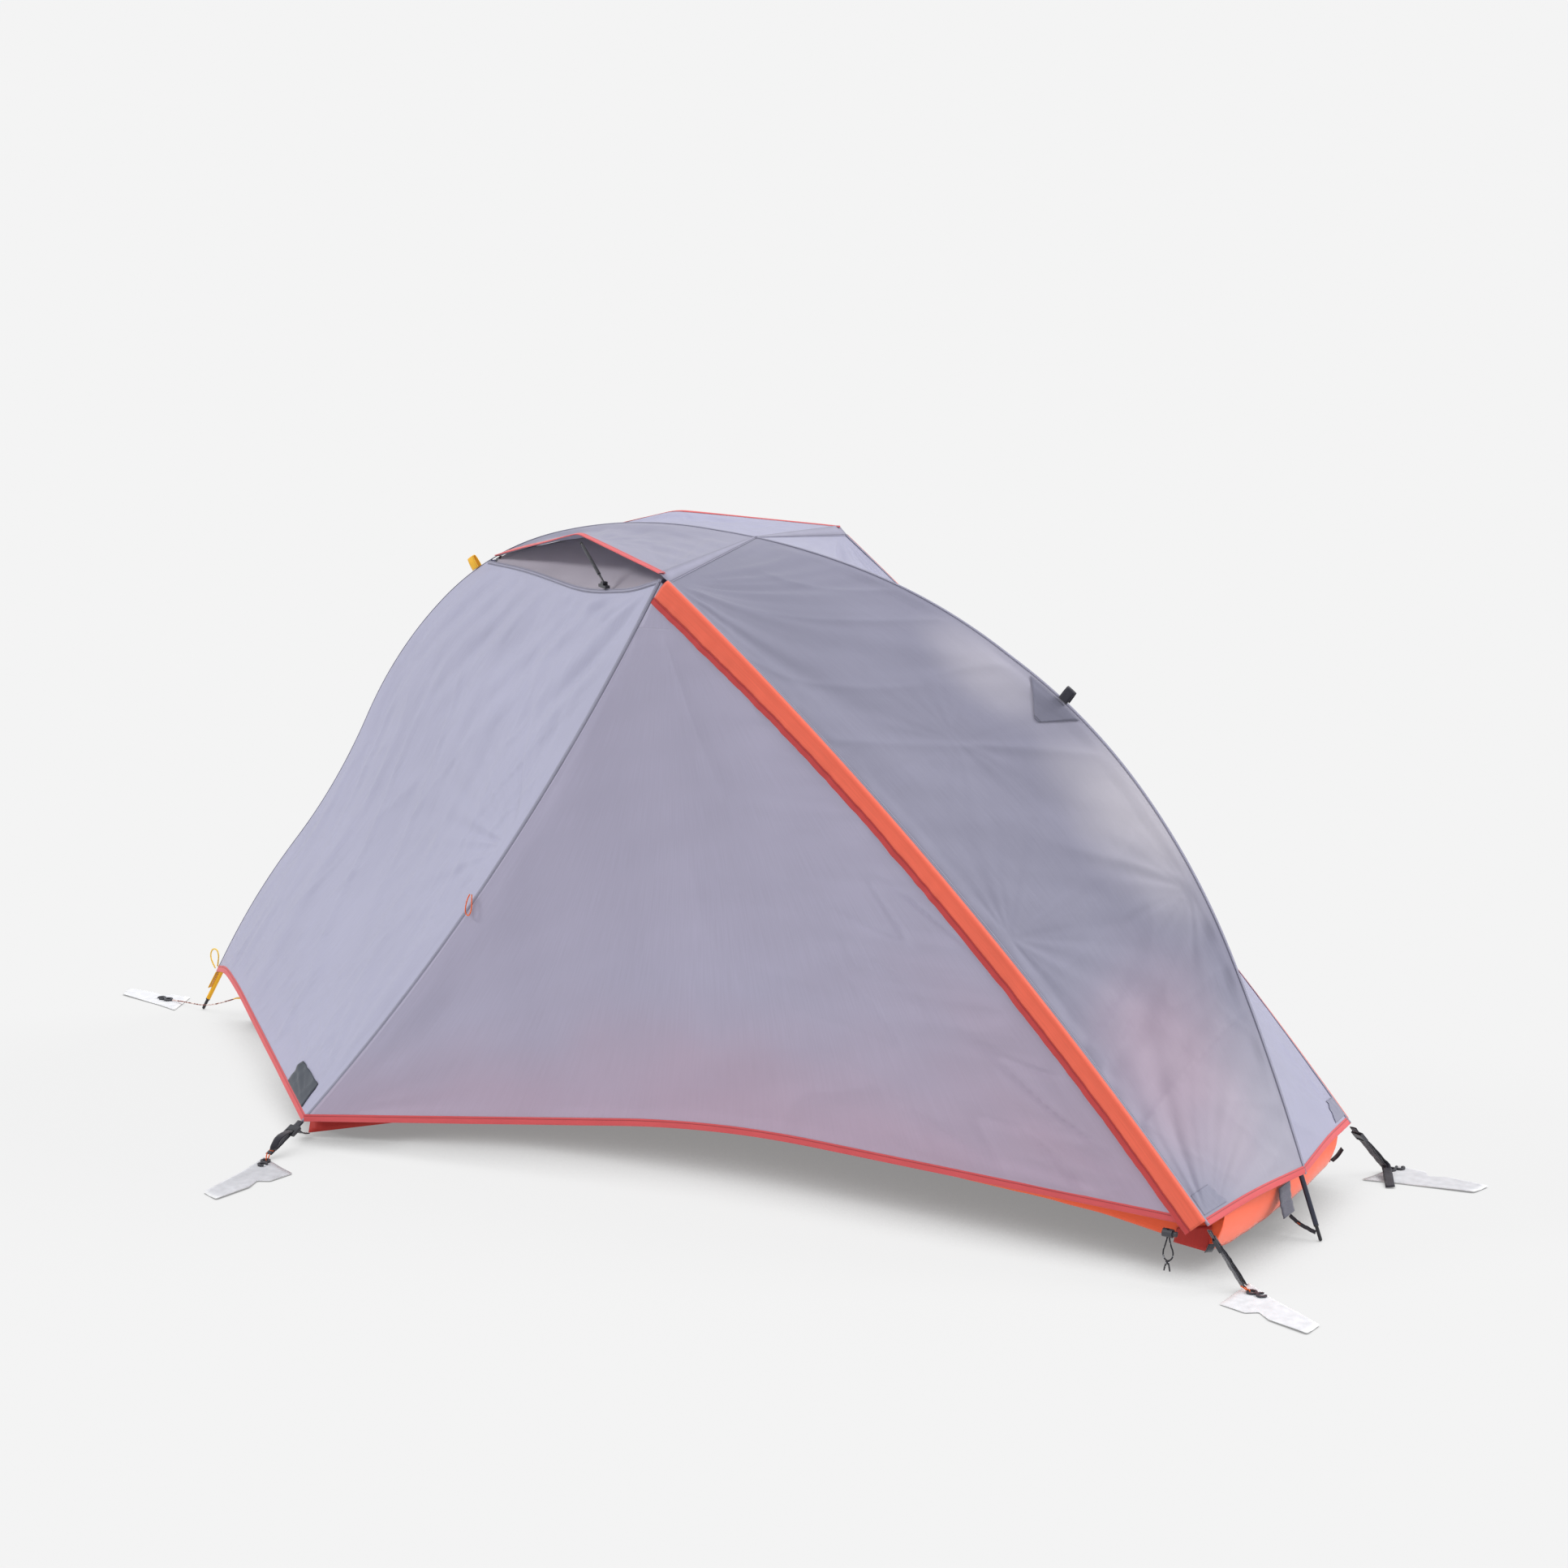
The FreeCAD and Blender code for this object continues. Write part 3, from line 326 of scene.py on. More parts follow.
def head_relief(x, y, u, v, seed):
    top, low = HEAD.flat(TOP_CORNER), HEAD.flat(SHOULDER)
    seam = slope(low, top)
    long = 3.4 * waves(x, y, seam + 0.06, 80, 700, seed) + 1.1 * waves(x, y, seam + 0.12, 26, 460, seed + 3)
    long += (3.6 * creases(x, y, seam + 0.10, 130, 640, seed + 5)
             + 2.2 * creases(x, y, seam - 0.14, 70, 340, seed + 6))
    upper = smooth((u - 0.62) / 0.28)
    height = long * (1 - 0.6 * upper) + upper * 4.2 * waves(x, y, seam - 0.35, 34, 260, seed + 8)
    height += 7.0 * fan(x, y, top, 300, 8, seed + 7) + 6.0 * fan(x, y, low, 300, 7, seed + 9)
    height += 7.0 * fan(x, y, HEAD.flat(HEAD.side_b(0.55)), 260, 7, seed + 10)
    return height + 0.5 * waves(x, y, 0.5, 38, 90, seed + 11) - belly(14, u, v)


FOOT_FANS = ((0.40, 0.93, 3.6, 120), (0.33, 0.04, 3.4, 110), (0.62, 0.5, 1.4, 160))    # u, v, height, reach


def foot_relief(x, y, u, v, seed):
    lower = 1 - smooth((u - 0.22) / 0.28)
    broad = 2.6 * waves(x, y, 1.2, 90, 640, seed) + 1.8 * creases(x, y, 0.8, 120, 420, seed + 4)
    low_folds = 2.8 * waves(x, y, 2.87, 40, 620, seed + 1) + 2.2 * creases(x, y, 2.80, 80, 460, seed + 2)
    height = broad * (1 - 0.5 * lower) + lower * low_folds
    for u_at, v_at, size, reach in FOOT_FANS:
        height += size * fan(x, y, FOOT.flat(FOOT.point(u_at, v_at)), reach, 6, seed + 3 + u_at)
    height += 6.0 * fan(x, y, FOOT.flat(TOP_CORNER), 330, 9, seed + 5)
    low = 4.6 * fan(x, y, FOOT.flat(FOOT_CORNER), 330, 7, seed + 8)
    height += low + 0.5 * waves(x, y, 0.9, 34, 130, seed + 10)
    pucker = 3.2 * noise.noise(Vector((u * 62, v * 3, seed + 13))) * math.exp(-(1 - v) * 11)
    return height + pucker - belly(12, u, v)


def hood_relief(x, y, u, v, seed):
    peak, top = HOOD.flat(VENT_PEAK), HOOD.flat(TOP_CORNER)
    height = 4.0 * fan(x, y, peak, 170, 5, seed) + 6.0 * fan(x, y, top, 260, 8, seed + 4)
    return height + 1.8 * waves(x, y, 1.2, 30, 160, seed + 6) - belly(9, u, v)


def door_relief(x, y, u, v, seed):
    foot, low = DOOR.flat(FOOT_CORNER), DOOR.flat(SHOULDER)
    height = 3.0 * waves(x, y, math.radians(100), 150, 600, seed) + 0.8 * waves(x, y, 0.3, 60, 240, seed + 2)
    by_zip = smooth((v - 0.5) / 0.42)
    height += 9.0 * fan(x, y, foot, 560, 11, seed + 4) * by_zip + 4.0 * fan(x, y, low, 260, 7, seed + 6)
    band = math.exp(-(1 - v) * 7.0) * smooth((0.62 - u) / 0.2)
    height -= 11.0 * creases(x, y, -0.60, 60, 330, seed + 9) * band
    height += 1.6 * creases(x, y, math.radians(128), 210, 380, seed + 10) * smooth(v * 1.4)
    near_zip = math.exp(-(1 - v) * (6.0 - 2.0 * u))
    height += 4.4 * noise.noise(Vector((u * 34, v * 2.2, seed + 12))) * near_zip
    height += 2.0 * noise.noise(Vector((u * 80, v * 3.0, seed + 15))) * near_zip ** 2
    from_zip = (1 - v) * (DOOR.side_b(u) - DOOR.side_a(u)).length
    return min(height - belly(16, u, v), 0.2 + 0.12 * max(from_zip - 60, 0.0))


def edge_fade(u, v, room, reach):
    """0 on a panel's edges and under its hems, 1 in its middle."""
    away_u, away_v = min(u, 1 - u) / room[0] - 0.35, min(v, 1 - v) / room[1] - 0.35
    return smooth(away_u / reach) * smooth(away_v / reach)


def grid_normals(grid):
    normals = []
    last_row, last_col = len(grid) - 1, len(grid[0]) - 1
    for i, points in enumerate(grid):
        line = []
        for j in range(len(points)):
            along = grid[min(i + 1, last_row)][j] - grid[max(i - 1, 0)][j]
            across = points[min(j + 1, last_col)] - points[max(j - 1, 0)]
            line.append(across.cross(along).normalized())
        normals.append(line)
    return normals


# ---------------------------------------------------------------- meshes
def mesh_object(name, points, faces, material, thickness=0.0, offset=0.0):
    """Smooth mesh in the scene, thickened where a thickness is given. All in metres."""
    mesh = bpy.data.meshes.new(name)
    mesh.from_pydata(points, [], faces)
    mesh.polygons.foreach_set("use_smooth", [True] * len(mesh.polygons))
    mesh.materials.append(material)
    thing = bpy.data.objects.new(name, mesh)
    bpy.context.scene.collection.objects.link(thing)
    if thickness:
        solid = thing.modifiers.new("thickness", "SOLIDIFY")
        solid.thickness, solid.offset = thickness, offset
    return thing


def grid_object(name, grid, material, far=False, thickness=CLOTH, turned=False, offset=-1.0):
    """Cloth or tape made from rows of points. Its face points to columns x rows, or the
    other way where turned. UV is the length across and along it, in metres, and a second
    layer holds the same as shares of the whole."""
    rows, cols = len(grid), len(grid[0])
    flipped = far != turned
    points = [row(on_side(p, far)) for line in grid for p in line]
    faces = []
    for i in range(rows - 1):
        for j in range(cols - 1):
            a, b = i * cols + j, i * cols + j + 1
            face = (a, b, b + cols, a + cols)
            faces.append(face[::-1] if flipped else face)
    thing = mesh_object(name, points, faces, material, thickness / 1000, offset)
    mesh = thing.data
    middle_row, middle_col = grid[rows // 2], cols // 2
    across, along = [0.0], [0.0]
    for first, second in zip(middle_row, middle_row[1:]):
        across.append(across[-1] + (second - first).length / 1000)
    for first, second in zip(grid, grid[1:]):
        along.append(along[-1] + (second[middle_col] - first[middle_col]).length / 1000)
    layer, shares = mesh.uv_layers.new(name="cloth"), mesh.uv_layers.new(name="share")
    for loop in mesh.loops:
        i, j = loop.vertex_index // cols, loop.vertex_index % cols
        layer.data[loop.index].uv = (across[j], along[i])
        shares.data[loop.index].uv = (j / (cols - 1), i / (rows - 1))
    return thing


def wrinkle(panel, point, u, v, relief, seed, room, pull=0.25):
    """How far the cloth stands off a panel's smooth surface at one place."""
    x, y = panel.flat(point)
    fade = pull * edge_fade(u, v, room, 0.4) + (1 - pull) * edge_fade(u, v, room, 1.0)
    return relief(x, y, u, v, seed) * fade


def panel_grid(panel, rows, cols, relief, seed, room=(0.03, 0.06), wrap=None, way=1.0):
    """Points of a panel with its wrinkles. wrap gives the turn round the pole, and way is -1
    where columns x rows points inward."""
    grid = []
    for u in spread(rows):
        line = []
        if wrap:
            distance = wrap[0] + (wrap[1] - wrap[0]) * u
            turn = sleeve_angle(distance, panel.side_b(u))
            line += [sleeve_point(distance, turn * k / 4) for k in range(4)]
        line += [panel.point(u, v) for v in spread(cols)]
        grid.append(line)
    normals = grid_normals(grid)
    lead = 4 if wrap else 0
    for i, u in enumerate(spread(rows)):
        for j, v in enumerate(spread(cols), lead):
            lift = way * wrinkle(panel, grid[i][j], u, v, relief, seed, room)
            grid[i][j] = grid[i][j] + normals[i][j] * lift
    return grid


def strip_grid(edges, columns, crown=0.0):
    """Grid between pairs of edge points (left, right, outward normal)."""
    grid = []
    for left, right, normal in edges:
        grid.append([left.lerp(right, t) + normal * (crown * math.sin(math.pi * t)) for t in spread(columns)])
    return grid


def binding_grid(edges, width, gap):
    """Tape folded over a cloth's edge, from (edge, inward, normal) at each station."""
    profile = [(width, 0.5), (width * 0.9, 1.0), (width * 0.45, 1.15), (0.6, 1.0), (-0.7, 0.6), (-1.1, 0.0),
               (-0.7, -0.6), (0.6, -1.0), (width * 0.45, -1.1), (width * 0.9, -1.0), (width, -0.5)]
    return [[edge + inward * a + normal * (b * gap) for a, b in profile] for edge, inward, normal in edges]


def stations(curve, inner, count, wobble=0.0, seed=0.0, outward_hint=None):
    """Edge point, inward direction and normal along a panel's edge."""
    found = []
    for t in spread(count):
        edge = curve(t)
        ahead, behind = curve(min(t + 0.004, 1.0)), curve(max(t - 0.004, 0.0))
        along = (ahead - behind).normalized()
        inward = inner(t) - edge
        inward = (inward - along * inward.dot(along)).normalized()
        normal = along.cross(inward).normalized()
        hint = outward_hint or V(0, -1, 0.15)
        if normal.dot(hint) < 0:
            normal = -normal
        shake = noise.noise(Vector((t * count * 0.09, seed, 0.3))) * wobble
        drift = noise.noise(Vector((t * count * 0.06, seed, 7.3))) * wobble * 0.6
        found.append((edge + normal * shake + inward * drift, inward, normal))
    return found


# ---------------------------------------------------------------- materials
def set_socket(tree, socket, value):
    """Link a node's output to a socket, or set the socket to a plain value."""
    if isinstance(value, bpy.types.NodeSocket):
        tree.links.new(value, socket)
    else:
        socket.default_value = value


class Shade:
    """One node material, built from a Principled shader."""

    def __init__(self, name, rough, metal=0.0, sheen=0.0, specular=0.5):
        self.material = bpy.data.materials.new(name)
        self.material.use_nodes = True
        self.tree = self.material.node_tree
        self.shader = self.tree.nodes["Principled BSDF"]
        self.output = self.tree.nodes["Material Output"]
        for socket, value in (("Roughness", rough), ("Metallic", metal), ("Sheen Weight", sheen),
                              ("Sheen Roughness", 0.4), ("Specular IOR Level", specular)):
            self.shader.inputs[socket].default_value = value

    def node(self, kind, inputs=None, **settings):
        made = self.tree.nodes.new("ShaderNode" + kind)
        for name, value in settings.items():
            setattr(made, name, value)
        for name, value in (inputs or {}).items():
            set_socket(self.tree, made.inputs[name], value)
        return made

    def math(self, operation, a, b=0.0):
        return self.node("Math", {0: a, 1: b}, operation=operation).outputs[0]

    def scale(self, value, low, high, to_low=0.0, to_high=1.0, soft=True):
        kind = "SMOOTHSTEP" if soft else "LINEAR"
        return self.node("MapRange", {"Value": value, "From Min": low, "From Max": high,
                                      "To Min": to_low, "To Max": to_high},
                         interpolation_type=kind).outputs["Result"]

    def mix(self, share, first, second):
        made = self.node("Mix", data_type="RGBA", clamp_factor=True)
        for place, value in ((0, share), (6, first), (7, second)):
            set_socket(self.tree, made.inputs[place], value)
        return made.outputs[2]

    def noise(self, vector, scale, detail=2.0, rough=0.5, stretch=None):
        if stretch:
            vector = self.node("Mapping", {"Vector": vector, "Scale": stretch}).outputs[0]
        return self.node("TexNoise", {"Vector": vector, "Scale": scale, "Detail": detail,
                                      "Roughness": rough}).outputs["Fac"]

    def uv(self):
        return self.node("TexCoord").outputs["UV"]

    def place(self):
        return self.node("TexCoord").outputs["Object"]

    def bands(self, vector, pitch, direction):
        made = self.node("TexWave", {"Vector": vector, "Scale": 0.3142 / pitch, "Distortion": 0.0},
                         bands_direction=direction)
        return made.outputs["Fac"]

    def bump(self, height, distance, strength, before=None):
        inputs = {"Height": height, "Distance": distance, "Strength": strength}
        if before is not None:
            inputs["Normal"] = before
        return self.node("Bump", inputs).outputs[0]

    def finish(self, colour, normal=None, rough=None):
        for name, value in (("Base Color", colour), ("Normal", normal), ("Roughness", rough)):
            if value is not None:
                self.tree.links.new(value, self.shader.inputs[name])
        return self.material

    def share_surface(self, share, other):
        """Give this share of the surface to another shader."""
        mixed = self.node("MixShader", {0: share, 1: self.shader.outputs[0], 2: other.outputs[0]})
        self.tree.links.new(mixed.outputs[0], self.output.inputs["Surface"])

    def let_light_through(self, share, colour):
        """Cloth that glows where light comes from behind it."""
        self.share_surface(share, self.node("BsdfTranslucent", {"Color": colour}))

    def let_sight_through(self, share):
        """Open net: this share of it is holes."""
        self.share_surface(share, self.node("BsdfTransparent"))


def rgb(red, green, blue):
    """Linear colour of an sRGB one, 0 to 255."""
    linear = []
    for part in (red, green, blue):
        c = part / 255
        linear.append(c / 12.92 if c <= 0.04045 else ((c + 0.055) / 1.055) ** 2.4)
    return (*linear, 1.0)


def toned(colour, gain, lift=0.0):
    """A darker or lighter shade of a linear colour."""
    return (*[min(part * gain + lift, 1) for part in colour[:3]], 1.0)


# threads and stitches, in metres, and the share of a stitch that shows
WEAVE, WEAVE_DEPTH = 0.0007, 0.00012
NET_PITCH = 0.0012
STITCH, THREAD_HALF = 0.0034, 0.00048
STITCH_SHARE = 0.74


def varied(shade, colour, vector, scale, amount, streaks=None):
    """Colour that is a little lighter or darker from place to place."""
    value = shade.scale(shade.noise(vector, scale, 3.0), 0.25, 0.75, 1 - amount, 1 + amount, False)
    if streaks:
        fine = shade.scale(shade.noise(vector, 1.0, 2.0, stretch=streaks), 0.3, 0.7, 1 - amount * 0.7,
                           1 + amount * 0.7, False)
        value = shade.math("MULTIPLY", value, fine)
    return shade.node("HueSaturation", {"Color": colour, "Value": value}).outputs[0]


def woven(name, colour, through, rough=0.55, sheen=0.3, amount=0.035, painted_areas=()):
    """Plain-woven coated cloth that lets a share of the light through. The soft areas listed last are painted
    light and painted shade laid on its colour:
    (across, along, half sizes, colour, strength), in shares of the piece."""
    shade = Shade(name, rough, sheen=sheen, specular=0.35)
    uv = shade.uv()
    base = varied(shade, colour, uv, 2.6, amount, streaks=(420, 14, 1))
    split = shade.node("SeparateXYZ", {0: shade.node("UVMap", uv_map="share").outputs[0]})
    # Each area blends its colour in: painted light where the cloth glows from light behind it, painted shade
    # where it is darker.
    for u, v, width, height, area_colour, share in painted_areas:
        across = shade.math("DIVIDE", shade.math("SUBTRACT", split.outputs[0], u), width)
        along = shade.math("DIVIDE", shade.math("SUBTRACT", split.outputs[1], v), height)
        far = shade.math("SQRT", shade.math("ADD", shade.math("MULTIPLY", across, across),
                                            shade.math("MULTIPLY", along, along)))
        ragged = shade.math("ADD", far, shade.scale(shade.noise(uv, 5.0, 2.0), 0.3, 0.7, -0.13, 0.13, False))
        base = shade.mix(shade.scale(ragged, 1.0, 0.1, 0.0, share), base, area_colour)
    threads = shade.math("MULTIPLY", shade.bands(uv, WEAVE, "X"), shade.bands(uv, WEAVE, "Y"))
    rumple = shade.noise(uv, 60.0, 4.0, 0.55, stretch=(1.0, 0.35, 1.0))
    normal = shade.bump(threads, WEAVE_DEPTH, 0.5, shade.bump(rumple, 0.0012, 0.35))
    dull = shade.scale(shade.noise(uv, 9.0, 3.0), 0.3, 0.7, rough - 0.06, rough + 0.07, False)
    shade.finish(base, normal, dull)
    shade.let_light_through(through, base)
    return shade.material


def stitched(name, colour, thread, width, lines, ribs=0.0011, through=None):
    """Tape with rows of stitches. width is in metres, and lines are shares of it."""
    shade = Shade(name, 0.6, sheen=0.25, specular=0.3)
    uv = shade.uv()
    base = varied(shade, colour, uv, 14.0, 0.05, streaks=(300, 30, 1))
    split = shade.node("SeparateXYZ", {0: uv})
    dash = shade.math("FRACT", shade.math("DIVIDE", split.outputs[1], STITCH))
    on = shade.math("LESS_THAN", dash, STITCH_SHARE)
    marks = []
    for line in lines:
        off = shade.math("ABSOLUTE", shade.math("SUBTRACT", split.outputs[0], line * width))
        near = shade.math("MULTIPLY", shade.math("LESS_THAN", off, THREAD_HALF), on)
        # A band either side of each stitch line is darkened: painted shade in the groove the stitches pull into
        # the tape.
        groove_shade = shade.scale(off, 0.0018, 0.0, 0.0, 0.35)
        base = shade.mix(groove_shade, base, toned(colour, 0.45))
        base = shade.mix(near, base, thread)
        marks.append(near)
    raised = marks[0] if len(marks) == 1 else shade.math("MAXIMUM", *marks)
    ribbed = shade.bump(shade.bands(uv, ribs, "Y"), 0.0002, 0.35)
    shade.finish(base, shade.bump(raised, 0.0004, 0.8, ribbed))
    if through:
        shade.let_light_through(through, base)
    return shade.material


def webbing(name, colour, pitch=0.0013):
    """Narrow woven strap with its herringbone ribs."""
    shade = Shade(name, 0.62, sheen=0.4, specular=0.3)
    uv = shade.uv()
    base = varied(shade, colour, uv, 40.0, 0.10, streaks=(500, 60, 1))
    slant = shade.node("Mapping", {"Vector": uv, "Rotation": (0, 0, math.radians(38))}).outputs[0]
    ribs = shade.math("MULTIPLY", shade.bands(slant, pitch, "X"), shade.bands(uv, pitch * 1.4, "Y"))
    # The raised ribs are mixed to a lighter colour: a painted sheen on the rib tops.
    base = shade.mix(shade.math("MULTIPLY", ribs, 0.35), base, toned(colour, 1.9, 0.01))
    return shade.finish(base, shade.bump(ribs, 0.0004, 0.8))


def net(name, colour, holes):
    """Fine net whose holes take up a share of it."""
    shade = Shade(name, 0.7, sheen=0.2, specular=0.2)
    uv = shade.uv()
    mesh = shade.math("MULTIPLY", shade.bands(uv, NET_PITCH, "X"), shade.bands(uv, NET_PITCH, "Y"))
    base = shade.mix(shade.math("MULTIPLY", mesh, 0.4), varied(shade, colour, uv, 9.0, 0.06), rgb(70, 70, 78))
    shade.finish(base, shade.bump(mesh, 0.0003, 0.5))
    shade.let_sight_through(holes)
    return shade.material


def moulded(name, colour, rough=0.42, grain=900.0):
    """Injection-moulded plastic with a fine spark-eroded grain and rubbed edges."""
    shade = Shade(name, rough, specular=0.5)
    place = shade.place()
    worn = shade.scale(shade.node("NewGeometry").outputs["Pointiness"], 0.52, 0.60)
    base = varied(shade, colour, place, 60.0, 0.10)
    base = shade.mix(shade.math("MULTIPLY", worn, 0.5), base, toned(colour, 2.5, 0.03))
    rub = shade.scale(shade.noise(place, 130.0, 3.0), 0.3, 0.7, rough - 0.1, rough + 0.12, False)
    return shade.finish(base, shade.bump(shade.noise(place, grain, 2.0), 0.00015, 0.4), rub)


def drawn_metal(name, colour, rough, metal=1.0, stretch=(8, 900, 900)):
    """Anodised or bare tube with fine lines along it."""
    shade = Shade(name, rough, metal)
    place = shade.place()
    base = varied(shade, colour, place, 30.0, 0.06)
    lines = shade.noise(place, 1.0, 3.0, stretch=stretch)
    rub = shade.scale(lines, 0.3, 0.7, rough - 0.08, rough + 0.14, False)
    return shade.finish(base, shade.bump(lines, 0.00005, 0.3), rub)


def braided(name, colours, pitch, flecks):
    """Round braid whose strands cross, with a tracer of another colour."""
    shade = Shade(name, 0.6, sheen=0.3, specular=0.3)
    uv = shade.uv()
    place = shade.place()
    turned = shade.node("Mapping", {"Vector": place, "Rotation": (0.7, 0.5, 0.8)}).outputs[0]
    a = shade.bands(turned, pitch * 0.35, "X")
    b = shade.bands(turned, pitch * 0.35, "Y")
    strands = shade.math("MAXIMUM", a, b)
    marks = shade.math("GREATER_THAN", shade.noise(place, 1 / pitch, 1.0), 1 - flecks)
    base = shade.mix(marks, colours[0], colours[1])
    if len(colours) > 2:
        more = shade.math("GREATER_THAN", shade.noise(uv, 0.8 / pitch, 1.0), 0.58)
        base = shade.mix(more, base, colours[2])
    # The gaps between strands are mixed towards black: painted shade between the strands.
    base = shade.mix(shade.scale(strands, 0.4, 0.0, 0.0, 0.45), base, (0.02, 0.02, 0.02, 1))
    return shade.finish(base, shade.bump(strands, 0.0004, 0.8))


# The fly is one grey cloth. Its lighter grey is a lit copy, painted light for the head and far panels, and its
# darker grey is a shaded copy, painted shade for the near foot panel and hood.
GREY = rgb(193, 189, 211)
GREY_LIT = rgb(194, 194, 216)
GREY_SHADED = rgb(164, 163, 184)
# painted shade colour for the near foot panel
FOOT_SHADE_GREY = rgb(140, 140, 160)
# painted glow colour: light of the orange floor seen through the grey cloth
FLOOR_GLOW_PINK = rgb(206, 172, 190)
# painted glow colour: lamp light shining through the cloth from behind
BACKLIGHT_GLOW = rgb(226, 222, 230)
SEAM_GREY = rgb(172, 171, 192)
THREAD_GREY = rgb(126, 126, 146)
RED = rgb(214, 88, 92)
BRICK = rgb(190, 64, 64)
ORANGE = rgb(244, 112, 86)
TUB = rgb(255, 98, 52)
EDGES = (0.04, 0.96)      # stitch lines near both edges of a patch

M = {
    "head": woven("fly_cloth_head_lit", GREY_LIT, through=0.34),
    "far_foot": woven("fly_cloth_far_foot_lit", GREY_LIT, through=0.40),
    "far_hood": woven("fly_cloth_far_hood_lit", GREY_LIT, through=0.40),
    # Painted light and shade on the near foot panel: the darker band is painted shade, the cream areas are
    # painted glow of light shining through from behind, and the pink area is painted glow of the orange floor.
    "foot": woven("fly_cloth_foot_shaded", GREY_SHADED, through=0.34, painted_areas=(
        (0.55, 0.98, 0.90, 0.42, FOOT_SHADE_GREY, 0.60),
        (0.10, 0.43, 0.34, 0.17, BACKLIGHT_GLOW, 0.75), (0.14, 0.66, 0.24, 0.11, BACKLIGHT_GLOW, 0.45),
        (0.30, 0.05, 0.75, 0.22, BACKLIGHT_GLOW, 0.30), (0.62, 0.17, 0.60, 0.19, FLOOR_GLOW_PINK, 0.42))),
    "hood": woven("fly_cloth_hood_shaded", GREY_SHADED, through=0.3),
    # The pink areas on the door are painted glow of the orange floor shining through its lower part.
    "door": woven("fly_cloth_door", GREY, through=0.34, painted_areas=(
        (0.55, -0.02, 0.90, 0.34, FLOOR_GLOW_PINK, 0.50), (0.95, 0.20, 0.35, 0.30, FLOOR_GLOW_PINK, 0.25))),
    "gusset": woven("fly_cloth_gusset", GREY, through=0.34),
    "seam": stitched("seam_tape", SEAM_GREY, THREAD_GREY, 0.007, (0.22, 0.78), through=0.3),
    "hem": stitched("hem_tape", RED, rgb(160, 48, 54), 0.012, (0.28,), through=0.12),
    "brick": stitched("flap_binding", BRICK, rgb(140, 42, 44), 0.012, (0.2,), through=0.1),
    "flap": woven("storm_flap", ORANGE, through=0.22, sheen=0.4, amount=0.06),
    "tub": woven("bathtub_floor", TUB, through=0.06, sheen=0.3, amount=0.05, rough=0.45),
    # The floor patch is the sewn corner patch; where it reaches inboard along the tub its dark red is painted
    # shade.
    "patch": woven("floor_patch", rgb(190, 48, 40), through=0.1, amount=0.06),
    "grey_patch": stitched("sewn_patch", rgb(124, 124, 142), rgb(96, 96, 112), 0.09, EDGES, through=0.15),
    "corner_patch": stitched("corner_patch", rgb(146, 146, 166), rgb(112, 112, 130), 0.09, EDGES,
                             through=0.2),
    "label": stitched("woven_label", rgb(62, 68, 78), rgb(44, 48, 56), 0.11, EDGES, ribs=0.0007),
    "canopy": woven("inner_cloth", rgb(206, 206, 214), through=0.45, amount=0.03),
    "net": net("vent_net", rgb(198, 192, 204), 0.26),
    "web": webbing("webbing_black", rgb(42, 42, 52)),
    "web_yellow": webbing("webbing_yellow", rgb(236, 176, 44)),
    "grey_tab": webbing("grey_tab", rgb(92, 92, 106), pitch=0.0009),
    "card": moulded("anchor_card", rgb(210, 211, 215), 0.6, 30.0),
    "plastic": moulded("moulded_black", rgb(30, 31, 37)),
    "clip": moulded("inner_clip_plastic", rgb(46, 47, 55)),
    "alloy": drawn_metal("pole_dark_alloy", rgb(70, 72, 84), 0.34),
    "alloy_yellow": drawn_metal("pole_yellow_alloy", rgb(238, 178, 40), 0.36, 0.55),
    "ferrule": drawn_metal("ferrule_alloy", rgb(176, 178, 184), 0.3),
    "spring": drawn_metal("spring_wire", rgb(150, 152, 158), 0.25, stretch=(900, 900, 900)),
    "zip_metal": drawn_metal("zip_slider_metal", rgb(96, 92, 96), 0.35, stretch=(60, 60, 60)),
    "zip_tape": stitched("zip_tape", rgb(70, 70, 82), rgb(40, 40, 48), 0.006, (0.2,), ribs=0.0025),
    "cord_orange": braided("cord_orange", (rgb(238, 104, 40), rgb(250, 150, 80)), 0.004, 0.35),
    "cord_yellow": braided("cord_yellow", (rgb(246, 204, 84), rgb(252, 228, 150)), 0.004, 0.4),
    "cord_dark": braided("cord_dark", (rgb(40, 40, 46), rgb(176, 176, 182)), 0.004, 0.34),
    "cord_fleck": braided("cord_reflective", (rgb(64, 62, 68), rgb(226, 224, 222), rgb(240, 110, 50)),
                          0.006, 0.5),
    "shock": braided("shock_cord", (rgb(40, 40, 46), rgb(90, 90, 96)), 0.004, 0.3),
}


# ---------------------------------------------------------------- camera, light and floor
def look_from(place, pitch, heading, lens):
    data = bpy.data.cameras.new("camera")
    data.lens, data.sensor_width = lens, 36.0
    data.clip_end = 5000
    camera = bpy.data.objects.new("camera", data)
    camera.location = place
    camera.rotation_euler = (math.radians(90 - pitch), 0, math.radians(heading))
    bpy.context.scene.collection.objects.link(camera)
    bpy.context.scene.camera = camera


def sun(name, strength, elevation, azimuth, softness, colour=(1, 1, 1)):
    """Sun that shines from an azimuth: 0 is from -Y, 90 from +X."""
    data = bpy.data.lights.new(name, "SUN")
    data.energy, data.angle, data.color = strength, math.radians(softness), colour
    lamp = bpy.data.objects.new(name, data)
    e, a = math.radians(elevation), math.radians(azimuth)
    lamp.rotation_euler = Vector((math.sin(a) * math.cos(e), -math.cos(a) * math.cos(e),
                                  math.sin(e))).to_track_quat("Z", "Y").to_euler()
    bpy.context.scene.collection.objects.link(lamp)


